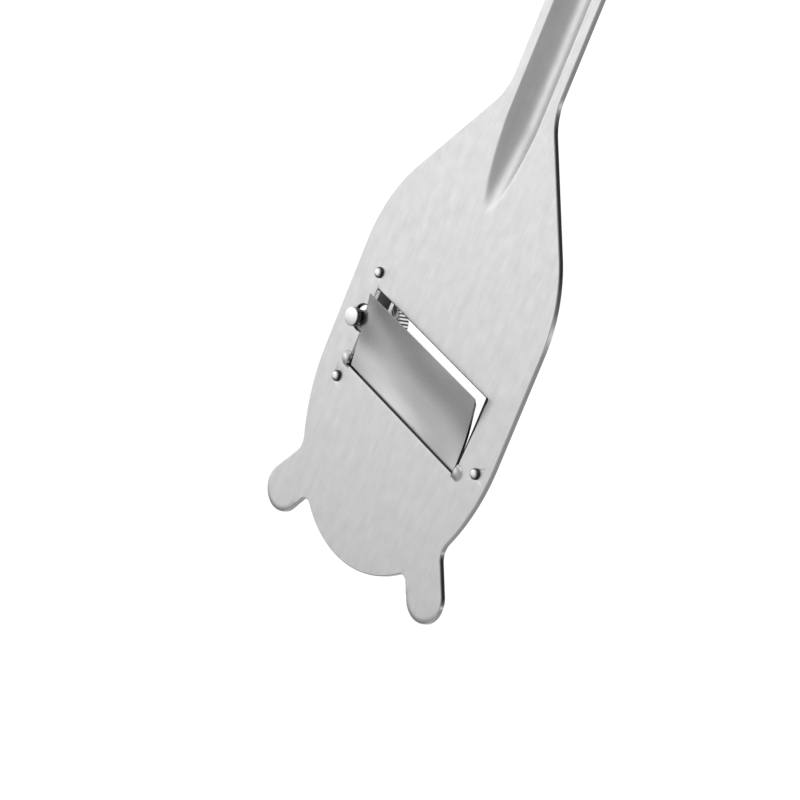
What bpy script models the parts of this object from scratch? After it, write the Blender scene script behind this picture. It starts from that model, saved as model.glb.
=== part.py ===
"""Truffle slicer: a stainless steel plate with a hinged blade that a knurled nut raises and lowers.

Metres, +Z up. The slicing face looks up, +Y runs from the feet to the handle, and the origin is
under the middle of the whole slicer, at the level of the nut's back face that it rests on. The
blade is modelled raised as far as it goes. Sizes named here are measured from the middle of the
window and from the slicing face, and one empty carries them to the origin.
"""

import math

import bmesh
import bpy
from mathutils import Vector

# Slicing plate, with a wide round toe between two small feet
PLATE_THICKNESS = 0.0018
PLATE_HALF_WIDTH = 0.04155
SIDE_LOW_Y = -0.008
SIDE_HIGH_Y = 0.028
SIDE_RADIUS = 0.067
SHOULDER_RADIUS = 0.049
TAPER_ANGLE = math.radians(34)
TOE_INSET = 0.00595
TOE_CENTRE_Y = -0.0247
FOOT_RADIUS = 0.0074
FOOT_INSET = 0.00595
FOOT_CENTRE_Y = -0.0534
FOOT_INNER_FILLET = 0.0025
FOOT_INNER_ANGLE = math.radians(-50.5)
FOOT_OUTER_FILLET = 0.006
FOOT_OUTER_ANGLE = math.radians(-24.1)

# Handle, one piece with the plate and stiffened by a pressed channel
HANDLE_HALF_WIDTH = 0.0105
HANDLE_END_Y = 0.163
NECK_FILLET = 0.02
HANG_HOLE_RADIUS = 0.0035
CHANNEL_RADIUS = 0.007
CHANNEL_DEPTH = 0.004
CHANNEL_TIP_Y = 0.056
CHANNEL_SLOPE = math.radians(8.5)
CHANNEL_END_SLOPE = math.radians(30)
CHANNEL_BEND = 0.03
CHANNEL_TO_HOLE = 0.0045

# Window, a slanted four-sided opening whose long edges run along the hinge
WINDOW_SLANT = math.radians(8.3)
WINDOW_DEPTH = 0.0246
WINDOW_CENTRE_Y = -0.00023
WINDOW_LEFT_MARGIN = 0.0121
WINDOW_RIGHT_MARGIN = 0.0139
WINDOW_RIGHT_LEAN = math.radians(0.8)
WINDOW_CORNER = 0.0004

# Hinge of the blade, a rod in two pressed pockets
HINGE_INSET = 0.0013
OPEN_ANGLE = math.radians(9.26)
ROD_RADIUS = 0.0008
ROD_REACH = 0.0027
BEARING_WALL = 0.0012
POCKET_LENGTH = 0.0034
POCKET_HALF_WIDTH = 0.00235
POCKET_HEIGHT = 0.001
POCKET_EDGE = 0.0005

# Blade
BLADE_THICKNESS = 0.00115
BLADE_LEFT_GAP = 0.00125
BLADE_RIGHT_GAP = 0.0004
BLADE_FRONT_GAP = 0.00035
BLADE_REAR_OVERHANG = 0.0005
BLADE_BOW = 0.0012
BLADE_BOW_SHARE = 0.85
BLADE_DROP = 0.00028
BLADE_STRIPS = 10
BEVEL_LENGTH = 0.002
CUTTING_EDGE_THICKNESS = 0.00015
EAR_WALL = 0.001

# Adjusting screw, washer and nut, on one axis beside the window
SCREW_OFFSET = 0.00175
SCREW_Y = 0.0062
SCREW_RADIUS = 0.0015
SCREW_END_INSET = 0.0004
HEAD_RADIUS = 0.00285
HEAD_HEIGHT = 0.00175
HEAD_EDGE = 0.0002
NOTCH_RADIUS = 0.004
WASHER_RADIUS = 0.0055
WASHER_THICKNESS = 0.0008
NUT_RADIUS = 0.008
NUT_HEIGHT = 0.0045
NUT_EDGE = 0.0004
KNURL_DEPTH = 0.00035
KNURL_COUNT = 46
KNURL_SHARES = ((0.0, 1), (0.12, 0), (0.5, 0), (0.62, 1))

# Spring between the bridge and the blade's ear
SPRING_WIRE = 0.00055
SPRING_RADIUS = 0.0021
SPRING_TURNS = 3.75
SPRING_START = math.radians(200)
POINTS_PER_TURN = 10
WIRE_RESOLUTION = 1

# Bridge behind the plate, which carries the nut and the spring
BRIDGE_THICKNESS = 0.0015
BRIDGE_HALF_WIDTH = 0.0042
BRIDGE_STAND_OFF = 0.0032
BRIDGE_FLAT_ABOVE = 0.0082
BRIDGE_FLAT_BELOW = 0.0076
BRIDGE_LEG_SLOPE = math.radians(45)
BRIDGE_BEND = 0.0005

# Keeper under the hinge's right end
KEEPER_THICKNESS = 0.0012
KEEPER_HALF_WIDTH = 0.003

# Rivets, by how far they are from the window's sides and above or below its middle
UPPER_RIVET_OFFSET = 0.002
UPPER_RIVET_RISE = 0.02133
LOWER_RIVET_OFFSET = 0.00245
LOWER_RIVET_DROP = 0.01327
RIGHT_RIVET_OFFSET = 0.00795
RIGHT_RIVET_DROP = 0.01227
RIVET_RADIUS = 0.001
RIVET_HEAD_RADIUS = 0.0017
RIVET_HEAD_HEIGHT = 0.00075
RIVET_HEAD_EDGE = 0.0003
RIVET_TAIL_RADIUS = 0.0016
RIVET_TAIL_HEIGHT = 0.0006

# Fits, and how finely round shapes are divided
CLEARANCE = 0.0003
OVERRUN = 0.002
ARC_TOLERANCE = 0.00003
MERGE_DISTANCE = 0.000001
ROUND_STEPS = 32
EDGE_STEPS = 3
SMOOTH_ANGLE = math.radians(35)

# Steels, each its shade and its roughness
PLATE_STEEL = (0.74, 0.3)
BLADE_STEEL = (0.72, 0.25)
STRAP_STEEL = (0.6, 0.35)
POLISHED_STEEL = (0.8, 0.15)
TURNED_STEEL = (0.6, 0.3)
WIRE_STEEL = (0.65, 0.25)

# Places that follow from the sizes above
TOE_RADIUS = PLATE_HALF_WIDTH - TOE_INSET
FOOT_CENTRE_X = PLATE_HALF_WIDTH - FOOT_INSET
WINDOW_LEFT = WINDOW_LEFT_MARGIN - PLATE_HALF_WIDTH
WINDOW_RIGHT = PLATE_HALF_WIDTH - WINDOW_RIGHT_MARGIN
UPPER_RIVET = (WINDOW_LEFT - UPPER_RIVET_OFFSET, WINDOW_CENTRE_Y + UPPER_RIVET_RISE)
LOWER_RIVET = (WINDOW_LEFT - LOWER_RIVET_OFFSET, WINDOW_CENTRE_Y - LOWER_RIVET_DROP)
RIGHT_RIVET = (WINDOW_RIGHT + RIGHT_RIVET_OFFSET, WINDOW_CENTRE_Y - RIGHT_RIVET_DROP)
SLANT_COS = math.cos(WINDOW_SLANT)
SLANT_SIN = math.sin(WINDOW_SLANT)
LEAN_TAN = math.tan(WINDOW_RIGHT_LEAN)
HINGE_Y = WINDOW_CENTRE_Y + (HINGE_INSET - WINDOW_DEPTH / 2) / SLANT_COS
BLADE_TOP = ROD_RADIUS + CLEARANCE + BLADE_THICKNESS
BLADE_UNDERSIDE = ROD_RADIUS + CLEARANCE
HINGE_Z = -BLADE_TOP
BLADE_DEPTH = WINDOW_DEPTH - HINGE_INSET - BLADE_FRONT_GAP
ROD_BORE = ROD_RADIUS + CLEARANCE
SCREW_BORE = SCREW_RADIUS + CLEARANCE
RIVET_BORE = RIVET_RADIUS + CLEARANCE
SCREW_X = WINDOW_LEFT - SCREW_OFFSET
PLATE_BACK_Z = -PLATE_THICKNESS
SEAT_Z = PLATE_BACK_Z - CLEARANCE
BRIDGE_FRONT_Z = PLATE_BACK_Z - BRIDGE_STAND_OFF
BRIDGE_BACK_Z = BRIDGE_FRONT_Z - BRIDGE_THICKNESS
WASHER_TOP_Z = BRIDGE_BACK_Z - CLEARANCE
WASHER_BACK_Z = WASHER_TOP_Z - WASHER_THICKNESS
NUT_TOP_Z = WASHER_BACK_Z - CLEARANCE
NUT_BACK_Z = NUT_TOP_Z - NUT_HEIGHT
HANG_HOLE_Y = HANDLE_END_Y - HANDLE_HALF_WIDTH
CHANNEL_END_Y = HANG_HOLE_Y - HANG_HOLE_RADIUS - CHANNEL_TO_HOLE
MIDDLE_Y = (HANDLE_END_Y + FOOT_CENTRE_Y - FOOT_RADIUS) / 2


# Places on the plate and on the hinge

def on_plate(along, across):
    """The plate's x and y of a place along the hinge and across it, towards the handle."""
    x = along * SLANT_COS + across * SLANT_SIN
    y = HINGE_Y - along * SLANT_SIN + across * SLANT_COS
    return (x, y)


def on_hinge(x, y):
    """How far along and across the hinge a place on the plate lies."""
    rise = y - HINGE_Y
    return (x * SLANT_COS - rise * SLANT_SIN, x * SLANT_SIN + rise * SLANT_COS)


def left_side(across, inset):
    """How far along the hinge the window's left side is, moved into the window by the inset."""
    return (WINDOW_LEFT + inset - across * SLANT_SIN) / SLANT_COS


def right_side(across, inset):
    """How far along the hinge the window's right side is, moved into the window by the inset."""
    reach = WINDOW_RIGHT - inset + across * (SLANT_COS * LEAN_TAN - SLANT_SIN)
    return reach / (SLANT_COS + SLANT_SIN * LEAN_TAN)


def height_when_open(across, lift):
    """Height of a blade surface over the slicing face, at a place across, with the blade raised."""
    return HINGE_Z + (across * math.sin(OPEN_ANGLE) + lift) / math.cos(OPEN_ANGLE)


def slot_travel():
    """How far the screw moves across the blade's ear while the blade is raised."""
    across = SCREW_ACROSS / math.cos(OPEN_ANGLE) + BLADE_TOP * math.tan(OPEN_ANGLE)
    return across - SCREW_ACROSS


SCREW_ALONG, SCREW_ACROSS = on_hinge(SCREW_X, SCREW_Y)
ROD_LEFT = left_side(0, 0) - ROD_REACH
ROD_RIGHT = right_side(0, 0) + ROD_REACH
HEAD_LOW_Z = height_when_open(SCREW_ACROSS + HEAD_RADIUS, BLADE_TOP) + CLEARANCE
SPRING_LOW_Z = BRIDGE_FRONT_Z + CLEARANCE
SPRING_REACH = SPRING_RADIUS + SPRING_WIRE / 2
SPRING_HIGH_Z = height_when_open(SCREW_ACROSS - SPRING_REACH, BLADE_UNDERSIDE) - CLEARANCE


# Outlines

def arc(x, y, radius, start, turn):
    """Points of an arc with its centre on the left of the path, or on the right if radius < 0."""
    if radius == 0:
        return [(x, y)]
    step = 2 * math.acos(1 - ARC_TOLERANCE / abs(radius))
    count = max(1, math.ceil(abs(turn) / step))
    headings = [start + turn * i / count for i in range(count + 1)]
    return [(x + radius * math.sin(a), y - radius * math.cos(a)) for a in headings]


def belt(rounds):
    """Points of a path round circles, each x, y and radius, joined by their tangents.

    The path turns left round a positive radius and right round a negative one, and a radius of 0
    is a corner. The path is closed, and runs anticlockwise if most of its turns are left.
    """
    headings = []
    for (x, y, radius), (next_x, next_y, next_radius) in zip(rounds, rounds[1:] + rounds[:1]):
        span = math.hypot(next_x - x, next_y - y)
        lean = math.asin(max(-1, min(1, (radius - next_radius) / span)))
        headings.append(math.atan2(next_y - y, next_x - x) + lean)
    points = []
    for (x, y, radius), start, stop in zip(rounds, headings[-1:] + headings[:-1], headings):
        turn = math.remainder(stop - start, math.tau)
        if turn * radius < 0 and abs(turn) > SMOOTH_ANGLE:
            turn += math.copysign(math.tau, radius)
        points += arc(x, y, radius, start, turn)
    return points


def rounded(corners, radius):
    """A belt round the inside of an outline's corners, which are listed anticlockwise."""
    places = [Vector(corner) for corner in corners]
    rounds = []
    for before, place, after in zip(places[-1:] + places[:-1], places, places[1:] + places[:1]):
        ahead = (after - place).normalized()
        back = (before - place).normalized()
        centre = place + (ahead + back) * radius / ahead.cross(back)
        rounds.append((centre.x, centre.y, radius))
    return belt(rounds)


def circle(x, y, radius):
    """Points of a full circle."""
    angles = [math.tau * i / ROUND_STEPS for i in range(ROUND_STEPS)]
    return [(x + radius * math.cos(a), y + radius * math.sin(a)) for a in angles]


def plate_outline():
    """The plate and its handle: toe, foot, waist, side, shoulder, neck and handle end."""
    shoulder_x = PLATE_HALF_WIDTH - SHOULDER_RADIUS
    neck_x = HANDLE_HALF_WIDTH + NECK_FILLET
    taper_gap = SHOULDER_RADIUS + NECK_FILLET - (neck_x - shoulder_x) * math.cos(TAPER_ANGLE)
    neck_y = SIDE_HIGH_Y + taper_gap / math.sin(TAPER_ANGLE)
    inner_reach = TOE_RADIUS + FOOT_INNER_FILLET
    outer_reach = SIDE_RADIUS + FOOT_OUTER_FILLET
    side_x = PLATE_HALF_WIDTH - SIDE_RADIUS
    inner_x = inner_reach * math.cos(FOOT_INNER_ANGLE)
    inner_y = TOE_CENTRE_Y + inner_reach * math.sin(FOOT_INNER_ANGLE)
    outer_x = side_x + outer_reach * math.cos(FOOT_OUTER_ANGLE)
    outer_y = SIDE_LOW_Y + outer_reach * math.sin(FOOT_OUTER_ANGLE)
    right = [
        (inner_x, inner_y, -FOOT_INNER_FILLET),
        (FOOT_CENTRE_X, FOOT_CENTRE_Y, FOOT_RADIUS),
        (outer_x, outer_y, -FOOT_OUTER_FILLET),
        (side_x, SIDE_LOW_Y, SIDE_RADIUS),
        (shoulder_x, SIDE_HIGH_Y, SHOULDER_RADIUS),
        (neck_x, neck_y, -NECK_FILLET),
    ]
    left = [(-x, y, radius) for x, y, radius in reversed(right)]
    toe = (0, TOE_CENTRE_Y, TOE_RADIUS)
    handle_end = (0, HANG_HOLE_Y, HANDLE_HALF_WIDTH)
    return belt([toe] + right + [handle_end] + left)


def window_outline():
    """The window, seen along the hinge."""
    low = -HINGE_INSET
    high = WINDOW_DEPTH - HINGE_INSET
    corners = [
        (left_side(low, 0), low),
        (right_side(low, 0), low),
        (right_side(high, 0), high),
        (left_side(high, 0), high),
    ]
    return rounded(corners, WINDOW_CORNER)


def blade_outline():
    """The blade with its ear, seen along the hinge, with spare length at its front and rear."""
    low = -BLADE_REAR_OVERHANG - OVERRUN
    high = BLADE_DEPTH + OVERRUN
    ear = SCREW_BORE + EAR_WALL
    ear_low = SCREW_ACROSS
    ear_high = SCREW_ACROSS + slot_travel()
    return belt([
        (left_side(low, BLADE_LEFT_GAP), low, 0),
        (right_side(low, BLADE_RIGHT_GAP), low, 0),
        (right_side(high, BLADE_RIGHT_GAP), high, 0),
        (left_side(high, BLADE_LEFT_GAP), high, 0),
        (left_side(ear_high + ear, BLADE_LEFT_GAP), ear_high + ear, 0),
        (SCREW_ALONG, ear_high, ear),
        (SCREW_ALONG, ear_low, ear),
        (left_side(ear_low - ear, BLADE_LEFT_GAP), ear_low - ear, 0),
    ])


def blade_sag(along, across):
    """How far the blade hangs below a flat one: it bows more and more towards its right end."""
    left = left_side(0, BLADE_LEFT_GAP)
    right = right_side(0, BLADE_RIGHT_GAP)
    reach_share = min(1, max(0, (along - left) / (right - left)))
    depth_share = min(1, max(0, across / BLADE_DEPTH))
    bow = BLADE_BOW * math.sin(math.pi * depth_share ** BLADE_BOW_SHARE)
    return reach_share ** 2 * (bow + BLADE_DROP * depth_share)


def blade_profile():
    """Side view of the blade: how far across the hinge and how high over it, ground underneath."""
    grind = BLADE_DEPTH - BEVEL_LENGTH
    edge = BLADE_TOP - CUTTING_EDGE_THICKNESS
    return [
        (-BLADE_REAR_OVERHANG, BLADE_UNDERSIDE),
        (grind, BLADE_UNDERSIDE),
        (BLADE_DEPTH, edge),
        (BLADE_DEPTH, BLADE_TOP),
        (-BLADE_REAR_OVERHANG, BLADE_TOP),
    ]


def bridge_profile():
    """Side view of the bridge: a strap bent out to its raised middle, back to its other foot."""
    inner = BRIDGE_BEND
    outer = BRIDGE_BEND + BRIDGE_THICKNESS
    drop = SEAT_Z - BRIDGE_FRONT_Z
    bend_rise = (inner + outer) * (1 - math.cos(BRIDGE_LEG_SLOPE))
    bend_run = (inner + outer) * math.sin(BRIDGE_LEG_SLOPE)
    leg_run = bend_run + (drop - bend_rise) / math.tan(BRIDGE_LEG_SLOPE)
    flat_high = SCREW_Y + BRIDGE_FLAT_ABOVE
    flat_low = SCREW_Y - BRIDGE_FLAT_BELOW
    end_high = UPPER_RIVET[1] + BRIDGE_HALF_WIDTH + OVERRUN
    end_low = LOWER_RIVET[1] - BRIDGE_HALF_WIDTH - OVERRUN
    foot_z = SEAT_Z - outer
    flat_z = BRIDGE_FRONT_Z + inner
    foot_back = SEAT_Z - BRIDGE_THICKNESS
    return belt([
        (end_high, SEAT_Z, 0),
        (flat_high + leg_run, foot_z, outer),
        (flat_high, flat_z, -inner),
        (flat_low, flat_z, -inner),
        (flat_low - leg_run, foot_z, outer),
        (end_low, SEAT_Z, 0),
        (end_low, foot_back, 0),
        (flat_low - leg_run, foot_z, -inner),
        (flat_low, flat_z, outer),
        (flat_high, flat_z, outer),
        (flat_high + leg_run, foot_z, -inner),
        (end_high, foot_back, 0),
    ])


def bridge_outline():
    """The bridge seen from above, a strap with round ends."""
    return belt([
        (SCREW_X, LOWER_RIVET[1], BRIDGE_HALF_WIDTH),
        (SCREW_X, UPPER_RIVET[1], BRIDGE_HALF_WIDTH),
    ])


def channel_route():
    """Side view of the line that the channel's round section follows, from its tip to its end."""
    bend_z = CHANNEL_BEND - CHANNEL_DEPTH
    places = []
    for tip_y, slope, inward in (
        (CHANNEL_TIP_Y, CHANNEL_SLOPE, 1),
        (CHANNEL_END_Y, CHANNEL_END_SLOPE, -1),
    ):
        sine = math.sin(slope)
        cosine = math.cos(slope)
        run = (CHANNEL_BEND - bend_z * cosine) / sine
        lead = CHANNEL_RADIUS
        start_y = tip_y + inward * (CHANNEL_RADIUS * sine - lead * cosine)
        start_z = CHANNEL_RADIUS * cosine + lead * sine
        places.append(((start_y, start_z), (tip_y + inward * run, bend_z)))
    (first, first_bend), (last, last_bend) = places
    radius = CHANNEL_BEND - CHANNEL_RADIUS
    down = arc(*first_bend, radius, -CHANNEL_SLOPE, CHANNEL_SLOPE)
    up = arc(*last_bend, radius, 0, CHANNEL_END_SLOPE)
    return [first] + down + up + [last]


def knurl_outline():
    """The nut's rim, with straight ribs."""
    points = []
    for i in range(KNURL_COUNT):
        for turn_share, depth_share in KNURL_SHARES:
            angle = math.tau * (i + turn_share) / KNURL_COUNT
            radius = NUT_RADIUS - KNURL_DEPTH * depth_share
            points.append((radius * math.cos(angle), radius * math.sin(angle)))
    return points


# Objects

def clear_scene():
    """Remove every object that the file starts with."""
    for thing in list(bpy.data.objects):
        bpy.data.objects.remove(thing, do_unlink=True)


def new_collection(name):
    """A collection in the scene."""
    group = bpy.data.collections.new(name)
    bpy.context.scene.collection.children.link(group)
    return group


def empty(name, parent, location=(0, 0, 0), rotation=(0, 0, 0)):
    """An empty that carries the pieces of one axis."""
    thing = bpy.data.objects.new(name, None)
    thing.location = location
    thing.rotation_euler = rotation
    thing.parent = parent
    PARTS.objects.link(thing)
    return thing


def place(name, mesh, parent, location=(0, 0, 0), rotation=(0, 0, 0), group=None):
    """An object of a mesh, among the parts unless another collection is given."""
    thing = bpy.data.objects.new(name, mesh)
    thing.location = location
    thing.rotation_euler = rotation
    thing.parent = parent
    (group or PARTS).objects.link(thing)
    return thing


def mesh_from_curve(curve):
    """A closed mesh of a curve, with its loose caps welded."""
    thing = bpy.data.objects.new(curve.name, curve)
    CUTTERS.objects.link(thing)
    bpy.context.view_layer.update()
    evaluated = thing.evaluated_get(bpy.context.evaluated_depsgraph_get())
    mesh = bpy.data.meshes.new_from_object(evaluated)
    bpy.data.objects.remove(thing, do_unlink=True)
    solid = bmesh.new()
    solid.from_mesh(mesh)
    bmesh.ops.remove_doubles(solid, verts=solid.verts, dist=MERGE_DISTANCE)
    bmesh.ops.recalc_face_normals(solid, faces=solid.faces)
    solid.to_mesh(mesh)
    solid.free()
    mesh.materials.clear()
    return mesh


def spline(curve, points, closed):
    """Add a spline of straight runs to a curve."""
    line = curve.splines.new("POLY")
    line.points.add(len(points) - 1)
    for point, spot in zip(line.points, points):
        point.co = (*spot, 1)
    line.use_cyclic_u = closed


def slab(name, outlines, thickness):
    """A flat mesh of closed outlines, the later ones holes in the first, centred on its depth."""
    curve = bpy.data.curves.new(name, "CURVE")
    curve.dimensions = "2D"
    curve.fill_mode = "BOTH"
    curve.extrude = thickness / 2
    for outline in outlines:
        spline(curve, [(x, y, 0) for x, y in outline], True)
    return mesh_from_curve(curve)


def tube(name, points, radius, resolution):
    """A round mesh that follows a line of points."""
    curve = bpy.data.curves.new(name, "CURVE")
    curve.dimensions = "3D"
    curve.bevel_depth = radius
    curve.bevel_resolution = resolution
    curve.use_fill_caps = True
    spline(curve, points, False)
    return mesh_from_curve(curve)


def cylinder(name, radius, length):
    """A closed cylinder mesh along Z, from 0 down."""
    solid = bmesh.new()
    bmesh.ops.create_cone(
        solid, cap_ends=True, segments=ROUND_STEPS, radius1=radius, radius2=radius, depth=length)
    bmesh.ops.translate(solid, verts=solid.verts, vec=(0, 0, -length / 2))
    mesh = bpy.data.meshes.new(name)
    solid.to_mesh(mesh)
    solid.free()
    return mesh


def block(name, size):
    """A closed box mesh, centred over its foot at the origin."""
    solid = bmesh.new()
    bmesh.ops.create_cube(solid, size=1)
    bmesh.ops.translate(solid, verts=solid.verts, vec=(0, 0, 1 / 2))
    bmesh.ops.scale(solid, verts=solid.verts, vec=size)
    mesh = bpy.data.meshes.new(name)
    solid.to_mesh(mesh)
    solid.free()
    return mesh


def turned(thing, profile, closed):
    """Turn a profile of radius and height into a round solid on the object's Z axis."""
    count = len(profile)
    edges = [(i, i + 1) for i in range(count - 1)]
    if closed:
        edges.append((count - 1, 0))
    thing.data.from_pydata([(radius, 0, z) for radius, z in profile], edges, [])
    screw = thing.modifiers.new("turn", "SCREW")
    screw.axis = "Z"
    screw.steps = ROUND_STEPS
    screw.render_steps = ROUND_STEPS
    screw.use_merge_vertices = True
    screw.merge_threshold = MERGE_DISTANCE
    screw.use_smooth_shade = True


def combine(thing, other, operation):
    """Join, cut or trim an object with another one."""
    change = thing.modifiers.new(other.name, "BOOLEAN")
    change.operation = operation
    change.solver = "EXACT"
    change.object = other
    other.hide_render = True
    other.display_type = "WIRE"


def smooth(thing):
    """Shade a piece smooth, with its edges kept sharp."""
    thing.data.shade_smooth()
    thing.data.set_sharp_from_angle(angle=SMOOTH_ANGLE)


def steel(thing, look):
    """Give a piece its own bare steel, by its shade and roughness."""
    shade, roughness = look
    material = bpy.data.materials.new(thing.name + "_steel")
    material.use_nodes = True
    shader = material.node_tree.nodes["Principled BSDF"]
    shader.inputs["Base Color"].default_value = (shade, shade, shade, 1)
    shader.inputs["Metallic"].default_value = 1
    shader.inputs["Roughness"].default_value = roughness
    thing.data.materials.append(material)


# Shapes shared by pieces that hold the hinge

def along_hinge(name, radius, start, stop):
    """A cylinder on the hinge axis between two places along it."""
    mesh = cylinder(name, radius, stop - start)
    return place(name, mesh, HINGE_LINE, (start, 0, 0), (0, -math.pi / 2, 0), CUTTERS)


def bead(name, start, stop, ceiling):
    """The half-round swelling of a plate that wraps the hinge rod, below a height."""
    thing = along_hinge(name, ROD_BORE + BEARING_WALL, start, stop)
    width = 2 * (ROD_BORE + BEARING_WALL + OVERRUN)
    mesh = block(name + "_ceiling", (stop - start + width, width, width))
    middle = (start + stop) / 2
    lid = place(mesh.name, mesh, HINGE_LINE, (middle, 0, ceiling - HINGE_Z), group=CUTTERS)
    combine(thing, lid, "DIFFERENCE")
    return thing


def pocket(name, side, outward):
    """A pressed pocket over one end of the hinge, round at its far end and open to the window."""
    tip = side + outward * (POCKET_LENGTH - POCKET_HALF_WIDTH)
    mouth = side - outward * OVERRUN
    half = POCKET_HALF_WIDTH * outward
    outline = belt([(mouth, -half, 0), (tip, 0, POCKET_HALF_WIDTH), (mouth, half, 0)])
    depth = POCKET_HEIGHT + PLATE_THICKNESS / 2
    thing = place(name, slab(name, [outline], depth), HINGE_LINE, group=CUTTERS)
    thing.location.z = POCKET_HEIGHT - depth / 2 - HINGE_Z
    edge = thing.modifiers.new("edge", "BEVEL")
    edge.width = POCKET_EDGE
    edge.segments = EDGE_STEPS
    edge.limit_method = "ANGLE"
    return thing


# Pieces

def make_plate():
    """The slicing plate with its window, notch, pockets, rivet holes, channel and hanging hole."""
    holes = [circle(*rivet, RIVET_BORE) for rivet in (UPPER_RIVET, LOWER_RIVET, RIGHT_RIVET)]
    holes.append(circle(0, HANG_HOLE_Y, HANG_HOLE_RADIUS))
    mesh = slab("body_plate", [plate_outline()] + holes, PLATE_THICKNESS)
    plate = place("body_plate", mesh, FRAME, (0, 0, PLATE_BACK_Z / 2))

    route = [(0, y, z) for y, z in channel_route()]
    ridge_radius = CHANNEL_RADIUS + PLATE_THICKNESS
    ridge = place("ridge", tube("ridge", route, ridge_radius, ROUND_STEPS), FRAME, group=CUTTERS)
    width = 2 * (ridge_radius + OVERRUN)
    length = CHANNEL_END_Y - CHANNEL_TIP_Y + 2 * width
    lid = place("ridge_ceiling", block("ridge_ceiling", (width, length, width)), FRAME, group=CUTTERS)
    lid.location = (0, (CHANNEL_TIP_Y + CHANNEL_END_Y) / 2, PLATE_BACK_Z / 2)
    combine(ridge, lid, "DIFFERENCE")
    combine(plate, ridge, "UNION")
    combine(plate, pocket("pocket_left", left_side(0, 0), -1), "UNION")
    combine(plate, pocket("pocket_right", right_side(0, 0), 1), "UNION")

    channel = tube("channel", route, CHANNEL_RADIUS, ROUND_STEPS)
    combine(plate, place("channel", channel, FRAME, group=CUTTERS), "DIFFERENCE")
    depth = PLATE_THICKNESS + POCKET_HEIGHT + 2 * OVERRUN
    window = place("window", slab("window", [window_outline()], depth), HINGE_LINE, group=CUTTERS)
    window.location.z = POCKET_HEIGHT + OVERRUN - depth / 2 - HINGE_Z
    combine(plate, window, "DIFFERENCE")
    notch = place("notch", cylinder("notch", NOTCH_RADIUS, depth), SCREW_AXIS, group=CUTTERS)
    notch.location.z = POCKET_HEIGHT + OVERRUN
    combine(plate, notch, "DIFFERENCE")
    combine(plate, ROD_SPACE, "DIFFERENCE")
    smooth(plate)
    steel(plate, PLATE_STEEL)


def make_bridge():
    """The strap behind the plate, which holds the hinge's left end and carries the nut."""
    depth = 2 * (BRIDGE_HALF_WIDTH + OVERRUN)
    side = slab("screw_bridge", [bridge_profile()], depth)
    turn = (math.pi / 2, 0, math.pi / 2)
    bridge = place("screw_bridge", side, FRAME, (SCREW_X, 0, 0), turn)
    height = 2 * (BRIDGE_STAND_OFF + BRIDGE_THICKNESS + OVERRUN)
    holes = [circle(SCREW_X, SCREW_Y, SCREW_BORE)]
    holes += [circle(*rivet, RIVET_BORE) for rivet in (UPPER_RIVET, LOWER_RIVET)]
    plan = slab("bridge_plan", [bridge_outline()] + holes, height)
    trim = place("bridge_plan", plan, FRAME, (0, 0, PLATE_BACK_Z), group=CUTTERS)
    combine(bridge, trim, "INTERSECT")
    ceiling = SEAT_Z - BRIDGE_THICKNESS / 2
    combine(bridge, bead("bridge_bead", ROD_LEFT - BEARING_WALL, left_side(0, 0), ceiling), "UNION")
    combine(bridge, ROD_SPACE, "DIFFERENCE")
    smooth(bridge)
    steel(bridge, STRAP_STEEL)


def make_keeper():
    """The small plate under the hinge's right end, held by one rivet."""
    end_x, end_y = on_plate(ROD_RIGHT + CLEARANCE, 0)
    outline = belt([
        (end_x, end_y, KEEPER_HALF_WIDTH),
        (*RIGHT_RIVET, KEEPER_HALF_WIDTH),
    ])
    mesh = slab("hinge_keeper", [outline, circle(*RIGHT_RIVET, RIVET_BORE)], KEEPER_THICKNESS)
    keeper = place("hinge_keeper", mesh, FRAME, (0, 0, SEAT_Z - KEEPER_THICKNESS / 2))
    ceiling = SEAT_Z - KEEPER_THICKNESS / 2
    stop = ROD_RIGHT + CLEARANCE + BEARING_WALL
    combine(keeper, bead("keeper_bead", right_side(0, 0), stop, ceiling), "UNION")
    combine(keeper, ROD_SPACE, "DIFFERENCE")
    smooth(keeper)
    steel(keeper, STRAP_STEEL)


def make_rivet(name, rivet, grip):
    """A rivet through the plate and what lies behind it, which ends at the grip's height."""
    low = CLEARANCE
    high = low + RIVET_HEAD_HEIGHT
    tail = grip - CLEARANCE
    thing = place(name, bpy.data.meshes.new(name), FRAME, (*rivet, 0))
    turned(thing, [
        (0, high),
        (RIVET_HEAD_RADIUS - RIVET_HEAD_EDGE, high),
        (RIVET_HEAD_RADIUS, high - RIVET_HEAD_EDGE),
        (RIVET_HEAD_RADIUS, low),
        (RIVET_RADIUS, low),
        (RIVET_RADIUS, tail),
        (RIVET_TAIL_RADIUS, tail),
        (RIVET_TAIL_RADIUS, tail - RIVET_TAIL_HEIGHT),
        (0, tail - RIVET_TAIL_HEIGHT),
    ], False)
    steel(thing, POLISHED_STEEL)


def bow_blade(mesh):
    """Cut a flat blade into strips both ways and let it sag between them."""
    solid = bmesh.new()
    solid.from_mesh(mesh)
    left = left_side(0, BLADE_LEFT_GAP)
    width = right_side(0, BLADE_RIGHT_GAP) - left
    for i in range(1, BLADE_STRIPS):
        for spot, normal in (
            ((left + width * i / BLADE_STRIPS, 0, 0), (1, 0, 0)),
            ((0, BLADE_DEPTH * i / BLADE_STRIPS, 0), (0, 1, 0)),
        ):
            everything = solid.verts[:] + solid.edges[:] + solid.faces[:]
            bmesh.ops.bisect_plane(solid, geom=everything, plane_co=spot, plane_no=normal)
    for vertex in solid.verts:
        vertex.co.z -= blade_sag(vertex.co.x, vertex.co.y)
    bmesh.ops.triangulate(solid, faces=solid.faces)
    solid.to_mesh(mesh)
    solid.free()


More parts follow.
